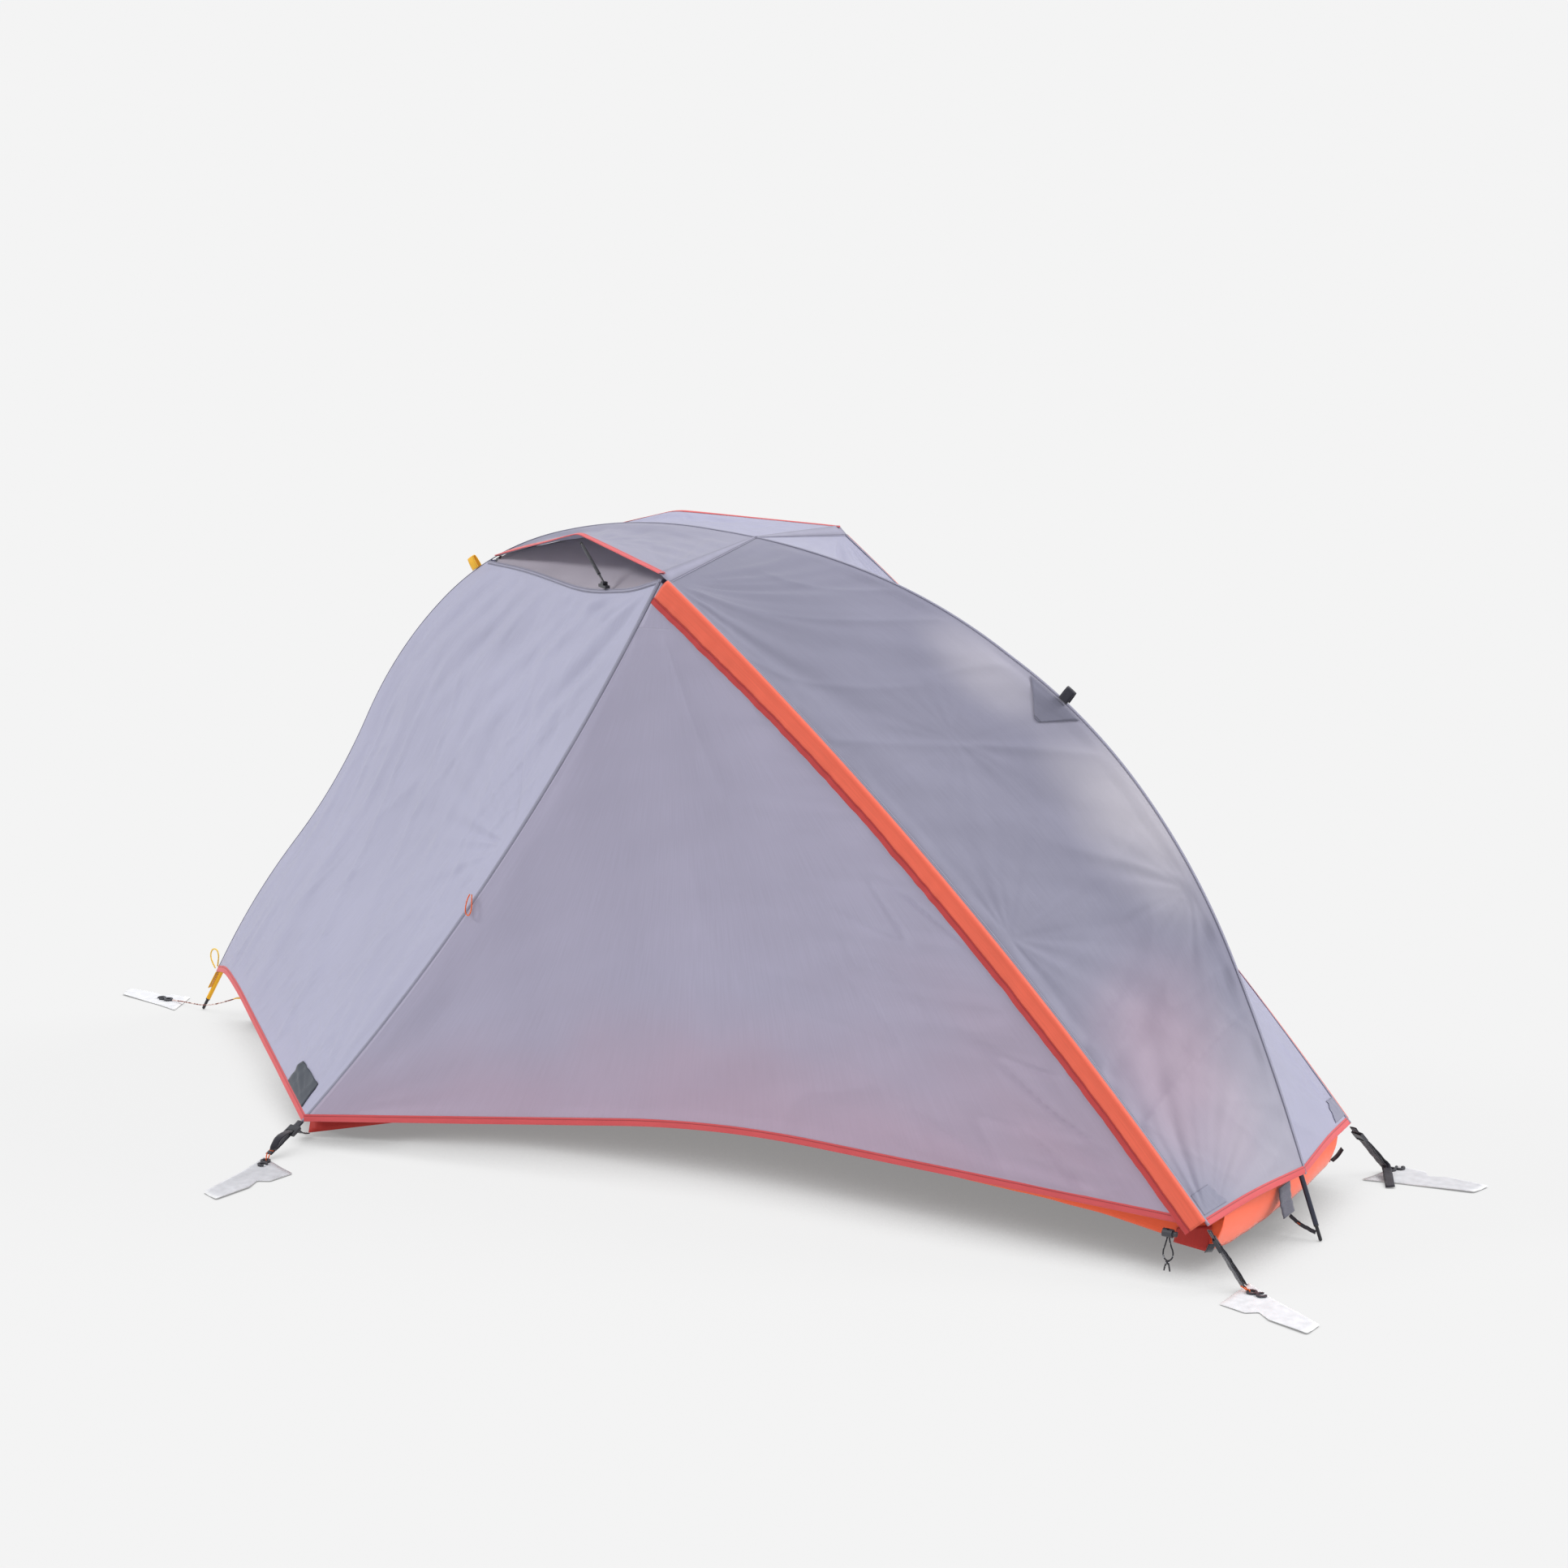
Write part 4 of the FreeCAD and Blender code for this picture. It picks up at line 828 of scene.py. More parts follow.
def studio():
    scene = bpy.context.scene
    scene.view_settings.view_transform = "Standard"
    world = bpy.data.worlds.new("studio")
    world.use_nodes = True
    tree = world.node_tree
    seen = tree.nodes["Background"]
    seen.inputs["Color"].default_value = rgb(244, 244, 244)
    light = tree.nodes.new("ShaderNodeBackground")
    light.inputs["Color"].default_value = (0.985, 0.99, 1.0, 1)
    light.inputs["Strength"].default_value = 0.76
    way = tree.nodes.new("ShaderNodeLightPath")
    mixed = tree.nodes.new("ShaderNodeMixShader")
    tree.links.new(way.outputs["Is Camera Ray"], mixed.inputs[0])
    tree.links.new(light.outputs[0], mixed.inputs[1])
    tree.links.new(seen.outputs[0], mixed.inputs[2])
    tree.links.new(mixed.outputs[0], tree.nodes["World Output"].inputs["Surface"])
    scene.world = world
    sun("key", 1.6, 36, -62, 14, (1.0, 0.995, 0.985))
    sun("back", 2.6, 36, 126, 24, (1.0, 0.99, 0.98))
    bpy.ops.mesh.primitive_grid_add(x_subdivisions=160, y_subdivisions=160, size=900,
                                    location=(0, 0, -0.0006))
    floor = bpy.context.object
    floor.name = "studio_floor"
    shade = Shade("studio_floor", 0.9, specular=0.0)
    pale = shade.mix(shade.noise(shade.place(), 0.6, 2.0), (0.039, 0.039, 0.039, 1), (0.041, 0.041, 0.041, 1))
    shade.shader.inputs["Emission Color"].default_value = (1.0, 1.0, 1.0, 1)
    # The floor's glow is dimmed by ambient occlusion, so it is darker under and right beside the tent: a
    # painted shadow.
    near = shade.node("AmbientOcclusion", {"Distance": 0.18}, samples=12).outputs["AO"]
    shade.tree.links.new(shade.scale(near, 0.1, 0.86, 0.26, 0.843), shade.shader.inputs["Emission Strength"])
    floor.data.materials.append(shade.finish(pale))


look_from((3.2216, -4.8474, 2.0108), 13.5285, 31.906, 77.16)
studio()


# ---------------------------------------------------------------- free cords
HEAD_CORD = [V(83, -3, 35), V(60, -6, 26), V(34, -9, 17), V(8, -10, 12), V(-16, -5, 9), V(-40, -1, 7),
             V(-64, 3, 5), V(-86, 4, 3.6)]
BUNGEE = [V(38, -3, 92), V(31, -5, 105), V(29, -6, 120), V(36, -7, 133), V(47, -6, 133), V(50, -5, 121),
          V(47, -4, 108), V(43, -2, 97)]
LOCK_CORD = [V(2266.2, -301, 78.6), V(2264, -301.5, 67), V(2260, -302, 56), V(2261, -303, 45),
             V(2269, -304, 39), V(2277, -303, 45), V(2278, -302, 56), V(2272, -301.5, 67),
             V(2269.8, -301, 78.6)]


def cord_curve(name, points, radius, material, order=3, smoothness=10, roundness=4):
    """Cord whose control points are the route's points."""
    curve = bpy.data.curves.new(name, "CURVE")
    curve.dimensions = "3D"
    spline = curve.splines.new("NURBS")
    spline.points.add(len(points) - 1)
    for control, point in zip(spline.points, points):
        control.co = (*row(point), 1.0)
    spline.order_u = order
    spline.use_endpoint_u = True
    spline.resolution_u = smoothness
    curve.bevel_depth = radius / 1000
    curve.bevel_resolution = roundness
    curve.use_fill_caps = True
    curve.materials.append(material)
    thing = bpy.data.objects.new(name, curve)
    bpy.context.scene.collection.objects.link(thing)
    return thing


head_cord = cord_curve("head_guy_cord_braid", HEAD_CORD, 1.25, M["cord_fleck"])
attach(head_cord, "tent")
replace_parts(head_cord, "head_guy_cord")

bungee = cord_curve("head_bungee_loop", BUNGEE, 1.5, M["cord_yellow"])
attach(bungee, "tent")
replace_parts(bungee, "head_bungee")

lock_loop = cord_curve("lock_cord_loop", LOCK_CORD, 1.3, M["cord_dark"])
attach(lock_loop, "tent")
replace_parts(lock_loop, "lock_cord")


# ---------------------------------------------------------------- placing
SIDES = (("near", False, 11.0), ("far", True, 47.0))


def on_tent(thing, slot, *replaced):
    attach(thing, "tent")
    if replaced:
        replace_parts(thing, *replaced)
    return thing


# ---------------------------------------------------------------- the fly
DETAIL = 1.0


def steps(number):
    """Rows or columns of a grid, fewer in a quick draft."""
    return max(int(number * DETAIL), 4)


def fly_panel(name, panel, rows, cols, relief, seed, material, far, **how):
    """One wrinkled panel of the fly. The foot panel's grid faces inward, so it is turned."""
    grid = panel_grid(panel, steps(rows), steps(cols), relief, seed, **how)
    return grid_object(name, grid, M[material], far, turned=how.get("way") == -1.0)


def hem_tape(name, curve, inner, number, wobble, seed, hint, far, gap=1.0):
    """Red tape folded over a cut edge."""
    ends = stations(curve, inner, steps(number), wobble, seed, hint)
    return grid_object(name, binding_grid(ends, HEM_WIDTH, gap), M["hem"], far, thickness=0)


def seam_tape(name, curve, inner, number, wobble, seed, hint, far, lifts):
    """Flat tape that lies along a seam, lifted off the cloth at its inner and outer edge."""
    ends = stations(curve, inner, steps(number), wobble, seed, hint)
    edges = [(e + w * 7 + n * lifts[0], e - w * 0.5 + n * lifts[1], n) for e, w, n in ends]
    return grid_object(name, strip_grid(edges, 5, 0.5), M["seam"], far, thickness=TAPE, offset=0.0)


def door_seam_tape(name, seed, far):
    """Tape on the door's seam. It folds over the seam and onto the door."""
    ends = stations(HEAD.side_b, lambda t: HEAD.point(t, 0.9), steps(150), 0.5, seed, V(-0.35, -1, 0.2))
    grid = []
    for t, (e, w, n) in zip(spread(len(ends)), ends):
        on_door = min(max((t - DOOR_LOW) / (DOOR_HIGH - DOOR_LOW), 0.0), 1.0)
        over = (DOOR.point(on_door, 0.04) - DOOR.side_a(on_door)).normalized()
        grid.append([e + w * 3.6 + n, e + w * 1.6 + n * 1.3, e + n * 0.8 - V(0, 0.9, 0),
                     e + over * 2.4 - V(0, 1.9, 0), e + over * 4.4 - V(0, 1.7, 0)])
    return grid_object(name, grid, M["seam"], far, thickness=TAPE, offset=0.0)


def storm_flap(name, seed, far):
    """Folded band over the zip, puckered along its free edge, and the stations of that edge."""
    grid, fold = [], []
    insets = (-0.5, 1.0, 3.0) if far else (-5.5, -3.5, 0.0)
    turned_in = list(zip(insets, (-2.6, -7.6, -10.4)))
    for share in spread(steps(260), 0.008, 0.988):
        pull = noise.noise(Vector((share * 38, seed, 0.0)))
        pull += 0.5 * noise.noise(Vector((share * 90, seed, 4.0)))
        reach = FLAP_WIDTH + 8 * (1 - smooth(share / 0.35))
        reach += 1.4 * noise.noise(Vector((share * 14, seed, 9.0)))
        depths = turned_in + [(8.0, -11.6 - 0.6 * pull), (16.0, -11.8 - 1.2 * pull),
                              (22.0, -11.6 - 1.9 * pull), (reach - 1.0, -11.4 - 2.6 * pull)]
        grid.append([arc_point(inset, share, ARC_Y + y) for inset, y in depths])
        edge = arc_point(reach, share, ARC_Y - 11.8 - 2.6 * pull)
        inward = (arc_point(reach - 12, share, ARC_Y - 12.2 - 1.9 * pull) - edge).normalized()
        fold.append((edge, inward, V(0, -1, 0)))
    return grid_object(name, grid, M["flap"], far, turned=True, thickness=0.8), fold


def door_gusset():
    """Small fixed triangle that closes the door's top corner."""
    out = V(0, 0.3, 0)
    return Panel(lambda t: door_seam(DOOR_HIGH - 0.008 + (1.002 - DOOR_HIGH) * t) + out,
                 lambda t: arc_point(ZIP_INSET + 5 - 14 * t, 0.082 - 0.07 * t, ARC_Y - 0.7),
                 lambda t: DOOR.point(0.985, t) + out,
                 straight(door_seam(0.994) + out, arc_point(ZIP_INSET - 9, 0.012, ARC_Y - 0.7)))


def flat_cloth(x, y, u, v, seed):
    return 0.0


def bend_band(far):
    """Two points off the door's hinge line, BEND_FROM and BEND_TO out from it."""
    hinge, middle, top = (row(on_side(p, far)) for p in (SHOULDER, DOOR.point(0.5, 0.5), TOP_CORNER))
    out, axis = middle - hinge, top - hinge
    axis.normalize()
    out = (out - axis * out.dot(axis)).normalized()
    return hinge + out * BEND_FROM, hinge + out * BEND_TO


for side, far, seed in SIDES:
    head = fly_panel(side + "_head_cloth", HEAD, 240, 120, head_relief, seed, "head", far,
                     wrap=(HEAD_START, VENT_BEGIN))
    on_tent(head, "fly_cloth", side + "_head_panel")
    foot = fly_panel(side + "_foot_cloth", FOOT, 300, 110, foot_relief, seed, "far_foot" if far else "foot",
                     far, wrap=(FOOT_END, CROSS), way=-1.0)
    on_tent(foot, "fly_cloth", side + "_foot_panel")
    hood = fly_panel(side + "_hood_cloth", HOOD, 130, 54, hood_relief, seed, "far_hood" if far else "hood",
                     far, room=(0.03, 0.2), wrap=(VENT_BEGIN + HOOD_GAP, CROSS))
    on_tent(hood, "hood_cloth", side + "_vent_hood")
    door = fly_panel(side + "_door_cloth", DOOR, 220, 190, door_relief, seed, "door", far)
    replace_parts(door, side + "_door_panel")
    start, end = bend_band(far)
    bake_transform(door)
    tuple(start)
    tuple(end)
    top = grid_object(side + "_door_top_gusset", panel_grid(door_gusset(), 14, 12, flat_cloth, seed),
                      M["gusset"], far)
    on_tent(top, "door_cloth")

    # seams, hems and bindings
    seam = on_tent(door_seam_tape(side + "_door_seam_tape", seed, far), "fly_cloth")
    hem = on_tent(hem_tape(side + "_head_hem", HEAD.low, lambda t: HEAD.point(0.06, t), 90, 0.8, seed + 1,
                           V(-0.6, -0.8, 0.2), far), "hem_tape")
    foot_hem = on_tent(hem_tape(side + "_foot_hem", FOOT.low, lambda t: FOOT.point(0.06, t), 60, 0.7,
                                seed + 2, V(0.9, -0.3, 0.2), far, 1.2), "hem_tape")
    vent_hem = on_tent(hem_tape(side + "_vent_hem", HOOD.side_b, lambda t: HOOD.point(t, 0.7), 90, 0.5,
                                seed + 3, V(-0.2, -0.5, 1), far), "hem_tape")
    lip = on_tent(seam_tape(side + "_vent_lip_tape", HEAD.high, lambda t: HEAD.point(0.96, t), 80, 0.4,
                            seed + 4, V(-0.4, -0.8, 0.5), far, (0.8, 0.8)), "fly_cloth")
    door_hem = hem_tape(side + "_door_hem_tape", DOOR.low, lambda t: DOOR.point(0.05, t), 190, 0.3, seed + 5,
                        V(0, -1, 0.1), far, 0.55)
    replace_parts(door_hem, side + "_door_hem")
    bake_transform(door_hem)
    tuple(start)
    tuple(end)
    foot_seam = on_tent(seam_tape(side + "_flap_seam_tape", FOOT.side_b, lambda t: FOOT.point(t, 0.92), 190,
                                  0.4, seed + 6, V(0.1, -1, 0.3), far, (0.9, 1.1)), "fly_cloth")
    flap, free_edge = storm_flap(side + "_storm_flap_cloth", seed, far)
    on_tent(flap, "storm_flap", side + "_storm_flap")
    fold = grid_object(side + "_flap_binding", binding_grid(free_edge, BINDING_WIDTH, 1.5), M["brick"], far,
                       thickness=0)
    on_tent(fold, "hem_tape")

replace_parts(hem, "fly_bindings")


# ---------------------------------------------------------------- seams over the poles
def sleeve_strip(begin, end, number, half_width, lift):
    """Strip of tape that lies on the cloth over the long pole."""
    turn = half_width / (SLEEVE_R + lift)
    return [[sleeve_point(distance, angle, SLEEVE_R + lift) for angle in spread(7, -turn, turn)]
            for distance in spread(number, begin, end)]


def cross_seam_rows():
    """Tape over the cross pole, from the near top corner across the ridge to the far one."""
    rows = [[HOOD.point(0.992, v) + V(0, 0, 0.9), HOOD.point(0.996, v) + V(0, 0, 1.4),
             FOOT.point(0.9995, v) + V(0, 0, 1.4), FOOT.point(0.9978, v) + V(0, 0, 0.9)]
            for v in (1 - t for t in spread(30))]
    for angle in spread(9, sleeve_angle(CROSS, FOOT.side_b(1)), 0.0)[1:]:
        rows.append([sleeve_point(CROSS + offset, angle, SLEEVE_R + lift)
                     for offset, lift in ((-3.5, 1.0), (-1.5, 1.5), (1.5, 1.5), (3.5, 1.0))])
    return rows + [[mirrored(p) for p in line] for line in rows[-2::-1]]


on_tent(grid_object("ridge_seam_tape", sleeve_strip(HEAD_START - 2, FOOT_END + 2, steps(320), 3.5, 0.7),
                    M["seam"], turned=True, thickness=TAPE), "fly_cloth")
on_tent(grid_object("cross_seam_tape", cross_seam_rows(), M["seam"], thickness=TAPE), "fly_cloth")


# ---------------------------------------------------------------- straps, cords and small cloth
def strap_grid(points, width, side, number=26, twist=0.0, share=0.45, ripple=0.0, columns=5):
    """Webbing along a path, its width held along side and turned by twist radians on the way."""
    line = Line(points, share)
    grid = []
    for t in spread(number):
        here = line.at(t)
        heading = line.heading(t * line.length, 3.0)
        across = (side - heading * side.dot(heading)).normalized()
        normal = across.cross(heading)
        angle = twist * smooth(t)
        turned = across * math.cos(angle) + normal * math.sin(angle)
        face = turned.cross(heading)
        sway = ripple * noise.noise(Vector((t * number * 0.3, width, 2.0)))
        grid.append([here + turned * (width * k) + face * (sway + 0.35 * math.cos(math.pi * k))
                     for k in spread(columns, -0.5, 0.5)])
    return grid


def strap(name, points, width, side, material, slot, thickness=1.3, **shape):
    return on_tent(grid_object(name, strap_grid(points, width, side, **shape), material, thickness=thickness,
                               offset=0.0), slot)


def thread(name, points, radius, material, slot, order=3):
    """Fixed cord or thread along the given points."""
    return on_tent(cord_curve(name, points, radius, material, order, 6, 3), slot)


def bar_tack(name, centre, along, side, length, width, material, slot, turns=9):
    """Dense zigzag of thread that locks a strap."""
    along, side = along.normalized(), side.normalized()
    points = [centre + along * (length * (k / (2 * turns) - 0.5)) + side * (width / 2 * (1 if k % 2 else -1))
              for k in range(2 * turns + 1)]
    return thread(name, points, 0.4, material, slot, order=2)


# per corner: strap top, strap end, hook, card, the card's heading in degrees and its hand
CORNERS = {
    "near_foot": (V(2337, -289, 92), V(2383, -266, 8), V(2408, -270, 3.4), V(2376, -284, 0), -23, 1),
    "far_foot": (V(2337, 289, 92), V(2366, 362, 8), V(2378, 380, 3.4), V(2362, 352, 0), 4, -1),
    "near_shoulder": (V(686, -527, 40), V(684, -606, 8), V(696, -632, 3.4), V(722, -626, 0), -90, -1),
    "far_shoulder": (V(686, 527, 40), V(684, 606, 8), V(696, 632, 3.4), V(722, 626, 0), 90, 1),
}
CARD_OUTLINE = [(18, -48), (-18, 48), (40, 36), (170, 20), (184, -20), (110, -30), (78, -20), (67, -40)]
CARD_LENGTH = max(x for x, y in CARD_OUTLINE)
CARD_ROUND, CARD_THICKNESS = 3, 0.0007
HEAD_CARD = V(-58, 2, 0)


def anchor_card(name, place, heading, hand, scale, seed):
    """Thin stiff card, cut to an irregular outline and slightly sprung off the ground."""
    outline = [Vector((x * scale, y * hand * scale)) for x, y in CARD_OUTLINE]
    c, s = math.cos(math.radians(heading)), math.sin(math.radians(heading))
    rim = []
    for k, corner in enumerate(outline):
        before, after = outline[k - 1], outline[(k + 1) % len(outline)]
        a, b = shift(corner, before, CARD_ROUND), shift(corner, after, CARD_ROUND)
        rim += [a.lerp(corner, t).lerp(corner.lerp(b, t), t) for t in (0.0, 0.5, 1.0)]
        rim += [b.lerp(shift(after, corner, CARD_ROUND), t) for t in spread(9)[1:-1]]
    centre = sum(rim, Vector((0, 0))) / len(rim)
    rings, points, faces = 7, [], []
    for ring in range(rings):
        for p in rim:
            q = centre.lerp(p, (ring + 1) / rings)
            sprung = 3.2 * smooth(q.x / (CARD_LENGTH * scale)) ** 2 * abs(q.y) / 40
            ripple = 0.8 * (noise.noise(Vector((q.x / 45, q.y / 30, seed))) + 0.6)
            points.append(row(place + V(q.x * c - q.y * s, q.x * s + q.y * c,
                                        max(0.2 + sprung + ripple, 0.2) + 0.6)))
    n = len(rim)
    points.append(sum((Vector(p) for p in points[:n]), Vector()) / n)
    for k in range(n):
        faces.append((n * rings, k, (k + 1) % n))
        for ring in range(rings - 1):
            a = ring * n + k
            b = ring * n + (k + 1) % n
            faces.append((a, a + n, b + n, b))
    if hand < 0:
        faces = [face[::-1] for face in faces]
    thing = mesh_object(name, points, faces, M["card"], CARD_THICKNESS)
    layer = thing.data.uv_layers.new(name="cloth")
    for loop in thing.data.loops:
        layer.data[loop.index].uv = points[loop.vertex_index].xy
    return on_tent(thing, "card_white")


def corner_gear(corner, top, end, hook, hand):
    """Strap of one corner: its sewn end, its run below the buckle, its tail and its hook's cord."""
    by_foot = corner.endswith("foot")
    away = V(end.x - top.x, end.y - top.y, 0)
    if by_foot:
        side, broad = V(0.85, -0.53 if hand > 0 else -0.2, 0).normalized(), 17
    else:
        side, broad = away.cross(V(0, 0, 1)).normalized(), 13
    away.normalize()
    drop = (end - top).normalized()
    lock = top + drop * 17
    face = side.cross(drop).normalized()
    if face.z < 0:
        face = -face
    black = (M["web"], "webbing_black")
    sewn = strap(corner + "_strap_anchor", [top - drop * 9 + face * 0.8, top, lock + drop * 5 + face * 1.0],
                 14, side, *black, number=12)
    strap(corner + "_strap", [lock - drop * 5 - face * 1.2, lock + drop * 6, end - drop * 26 - V(0, 0, 1),
                              end + V(0, 0, 0.6)], broad, side, *black, ripple=1.0)
    if by_foot:
        beyond = end + (away * 6 + V(0, 0, 3) if hand > 0 else V(38, -71, -5))
        tail = [lock + drop * 4 + face * 2.4, lock.lerp(end, 0.5) + face * 4.5, end + face * 2 + V(0, 0, 5),
                beyond]
    else:
        out = away * 30 + side * (14 if hand > 0 else -14)
        curl = ((4, 2.4, 0), (12, 8, 0.3), (26, 12, 0.6), (44, 4, 0.5), (52, -0.5, 0.2))
        tail = [lock + drop * down + face * off + out * share for down, off, share in curl]
    strap(corner + "_strap_tail", tail, broad - 1, side, *black, twist=0.0 if by_foot else 0.5, ripple=1.2)
    orange = (M["cord_orange"], "cord_orange")
    bar_tack(corner + "_bar_tack", end - drop * 12 + face * 1.5, drop, side, 7, 10, *orange)
    toward = V(hook.x - end.x, hook.y - end.y, 0).normalized()
    sideways = toward.cross(V(0, 0, 1))
    rim = hook - toward * 16
    round_hook = [(end, -3, 3, 1.6), (end, 4, 2.4, 0), (rim, -3, 1.5, 1.5), (rim, 0, 0, 3.2),
                  (rim, 3.8, 0, 1.0), (rim, 1.0, 0, -1.9), (rim, -4, -1.5, -0.6), (end, 4, -2.4, 0),
                  (end, -3, -3, 1.6)]
    thread(corner + "_hook_cord", [base + toward * ahead + sideways * aside + V(0, 0, rise)
                                   for base, ahead, aside, rise in round_hook], 1.1, *orange)
    return sewn


anchors, cards = [], []
for k, (corner, (top, end, hook, place, heading, hand)) in enumerate(CORNERS.items()):
    anchors.append(corner_gear(corner, top, end, hook, hand))
    cards.append(anchor_card(corner + "_card", place, heading, hand, 1.0, 3.0 * k))
anchor_card("head_card", HEAD_CARD, 180, 1, 0.86, 40.0)
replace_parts(anchors[0], "corner_straps", "guy_cords")
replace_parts(cards[0], "anchor_cards")

FLOOR_CORNERS = (("foot", FLOOR_EDGE[-1], V(2326, -262, 66)),
                 ("shoulder", FLOOR_EDGE[2], V(672, -512, 22)))
for name, far, _ in SIDES:
    for part, start, finish in FLOOR_CORNERS:
        start = shift(start + V(0, -9, 0), finish, 2)
        path = [on_side(p, far) for p in (start, (start + finish) * 0.5 + V(0, -2, -3), finish)]
        run = path[2] - path[0]
        strap(name + "_floor_tab_" + part, path, 12, V(run.x, run.y, 0).cross(V(0, 0, 1)).normalized(),
              M["web"], "webbing_black", number=14)

# head end: yellow tabs; foot end: grey tab with its thin strap
sleeve_tab = [POLE.place(s) + outward(58) * 7.2 for s in (50, 66, 80, 92)]
head_tab = strap("head_fly_tab", sleeve_tab, 14, V(0, 1, 0), M["web_yellow"], "webbing_yellow", number=16)
strap("head_floor_tab", [V(139, 0, 35), V(122, 0, 38.5), V(104, 0, 41), V(84, 0, 36)], 13, V(0, 1, 0),
      M["web_yellow"], "webbing_yellow", ripple=0.8)
bar_tack("head_tab_tack", V(122, 0, 40.6), V(-1, 0, 0.12), V(0, 1, 0), 6, 10, M["cord_yellow"], "cord_yellow")
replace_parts(head_tab, "head_tab")
foot_patch = strap("foot_tab_patch", [V(2333.5, 0, 85), V(2335, 0, 70), V(2337, 0, 56), V(2344, 0, 34)], 44,
                   V(0, 1, 0), M["grey_tab"], "grey_tab", thickness=1.0, ripple=1.0, columns=9)
strap("foot_tab_strap", [V(2345, 0, 34), V(2354, 0, 27), V(2368, 0, 20), V(2391, 0, 13)], 8,
      V(0.4, -0.3, 0.85), M["web"], "webbing_black", ripple=0.8)
bar_tack("foot_tab_tack", V(2362, 0, 23.6), V(1, 0, -0.4), V(0, 1, 0), 5, 7, M["cord_orange"], "cord_orange")
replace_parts(foot_patch, "foot_tab")


def ridge_loop(name, distance, width, height, material, slot):
    """Folded webbing that stands on the ridge, its width along the ridge."""
    seat, along, out = sleeve_point(distance, 0.0), POLE.heading(distance), outward(distance)
    half = [(-5.4, 0.9), (-5.6, height * 0.3), (-5.4, height * 0.6), (-3.4, height * 0.97)]
    outline = half + [(0, height)] + [(-y, rise) for y, rise in half[::-1]]
    path = [seat + V(0, y, 0) + out * rise for y, rise in outline]
    return strap(name, path, width, along, material, slot, number=44, thickness=1.1)


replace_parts(ridge_loop("head_guy_loop_web", VENT_BEGIN - 37, 15, 25, M["web_yellow"], "webbing_yellow"),
            "head_guy_loop")
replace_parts(ridge_loop("foot_guy_loop_web", pole_distance(1906), 18, 25, M["web"], "webbing_black"),
            "foot_guy_loop")


# ---------------------------------------------------------------- sewn patches and label
def patch_grid(panel, corners, lift, relief, seed, inward=False, rows=16, columns=16):
    """Patch that lies on a panel's wrinkles, its corners as (u, v) of the panel."""
    grid, shares = [], []
    for a in spread(rows):
        line = []
        for b in spread(columns):
            low = [corners[0][k] * (1 - b) + corners[1][k] * b for k in (0, 1)]
            high = [corners[3][k] * (1 - b) + corners[2][k] * b for k in (0, 1)]
            line.append((low[0] * (1 - a) + high[0] * a, low[1] * (1 - a) + high[1] * a))
        shares.append(line[::-1] if inward else line)
        grid.append([panel.point(u, v) for u, v in shares[-1]])
    placed = []
    for line, row_normals, row_shares in zip(grid, grid_normals(grid), shares):
        placed.append([p + n * (lift + wrinkle(panel, p, u, v, relief, seed, (0.03, 0.06)))
                       for p, n, (u, v) in zip(line, row_normals, row_shares)])
    return placed


for side, far, seed in SIDES:
    loop_patch = on_tent(grid_object(side + "_guy_loop_patch", patch_grid(
        FOOT, [(0.548, 0.005), (0.576, 0.15), (0.582, 0.15), (0.622, 0.005)], 1.6, foot_relief, seed, True),
        M["grey_patch"], far, thickness=0.5), "patch_cloth")
    corner_cloth = on_tent(grid_object(side + "_corner_patch", patch_grid(
        FOOT, [(0.012, 0.76), (0.012, 0.988), (0.039, 0.985), (0.040, 0.83)], 1.4, foot_relief, seed, True),
        M["corner_patch"], far, thickness=0.5), "patch_cloth")
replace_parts(loop_patch, "reinforcement_patches")
label = on_tent(grid_object("blank_woven_label", patch_grid(
    HEAD, [(0.0115, 0.822), (0.0115, 0.956), (0.058, 0.948), (0.057, 0.826)], 1.8, head_relief, SIDES[0][2]),
    M["label"], thickness=0.8), "label_cloth")
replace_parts(label, "blank_label")


# ---------------------------------------------------------------- vents
for side, far, seed in SIDES:
    def roof(t):
        return HOOD.side_a(0.02 + 0.93 * t) + V(0, -3 - 3 * smooth(t * 4), -6 - 11 * smooth(t * 4))

    def low_side(t):
        return HEAD.high(0.03 + 0.92 * t) + V(0, 3, -3)
    grid = []
    for t in spread(steps(40)):
        sag = 9 * math.sin(math.pi * t)
        grid.append([roof(t).lerp(low_side(t), v) - V(0, 0, sag * math.sin(math.pi * v)
                     + 2 * noise.noise(Vector((t * 9, v * 3, seed)))) for v in spread(steps(26))])
    mesh = on_tent(grid_object(side + "_vent_net", grid, M["net"], far, thickness=0.4), "vent_net")
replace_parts(mesh, "vent_mesh")

# each prop stick wears a sleeve of webbing
PROP_FOOT, PROP_TOP = V(1146, -223, 1006), V(1070, -181, 1062)
for side, far, seed in SIDES:
    route = [PROP_FOOT.lerp(PROP_TOP, t) + V(0, 0, 0.6 * math.sin(math.pi * t))
             for t in (0.22, 0.4, 0.65, 0.92)]
    sleeve = cord_curve(side + "_prop_sleeve", [on_side(p, far) for p in route], 3.0, M["web"])
    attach(sleeve, side + "_prop")


# ---------------------------------------------------------------- inner tent
edge_line, top_line = Line(FLOOR_EDGE, 0.4), Line(WALL_TOP, 0.4)


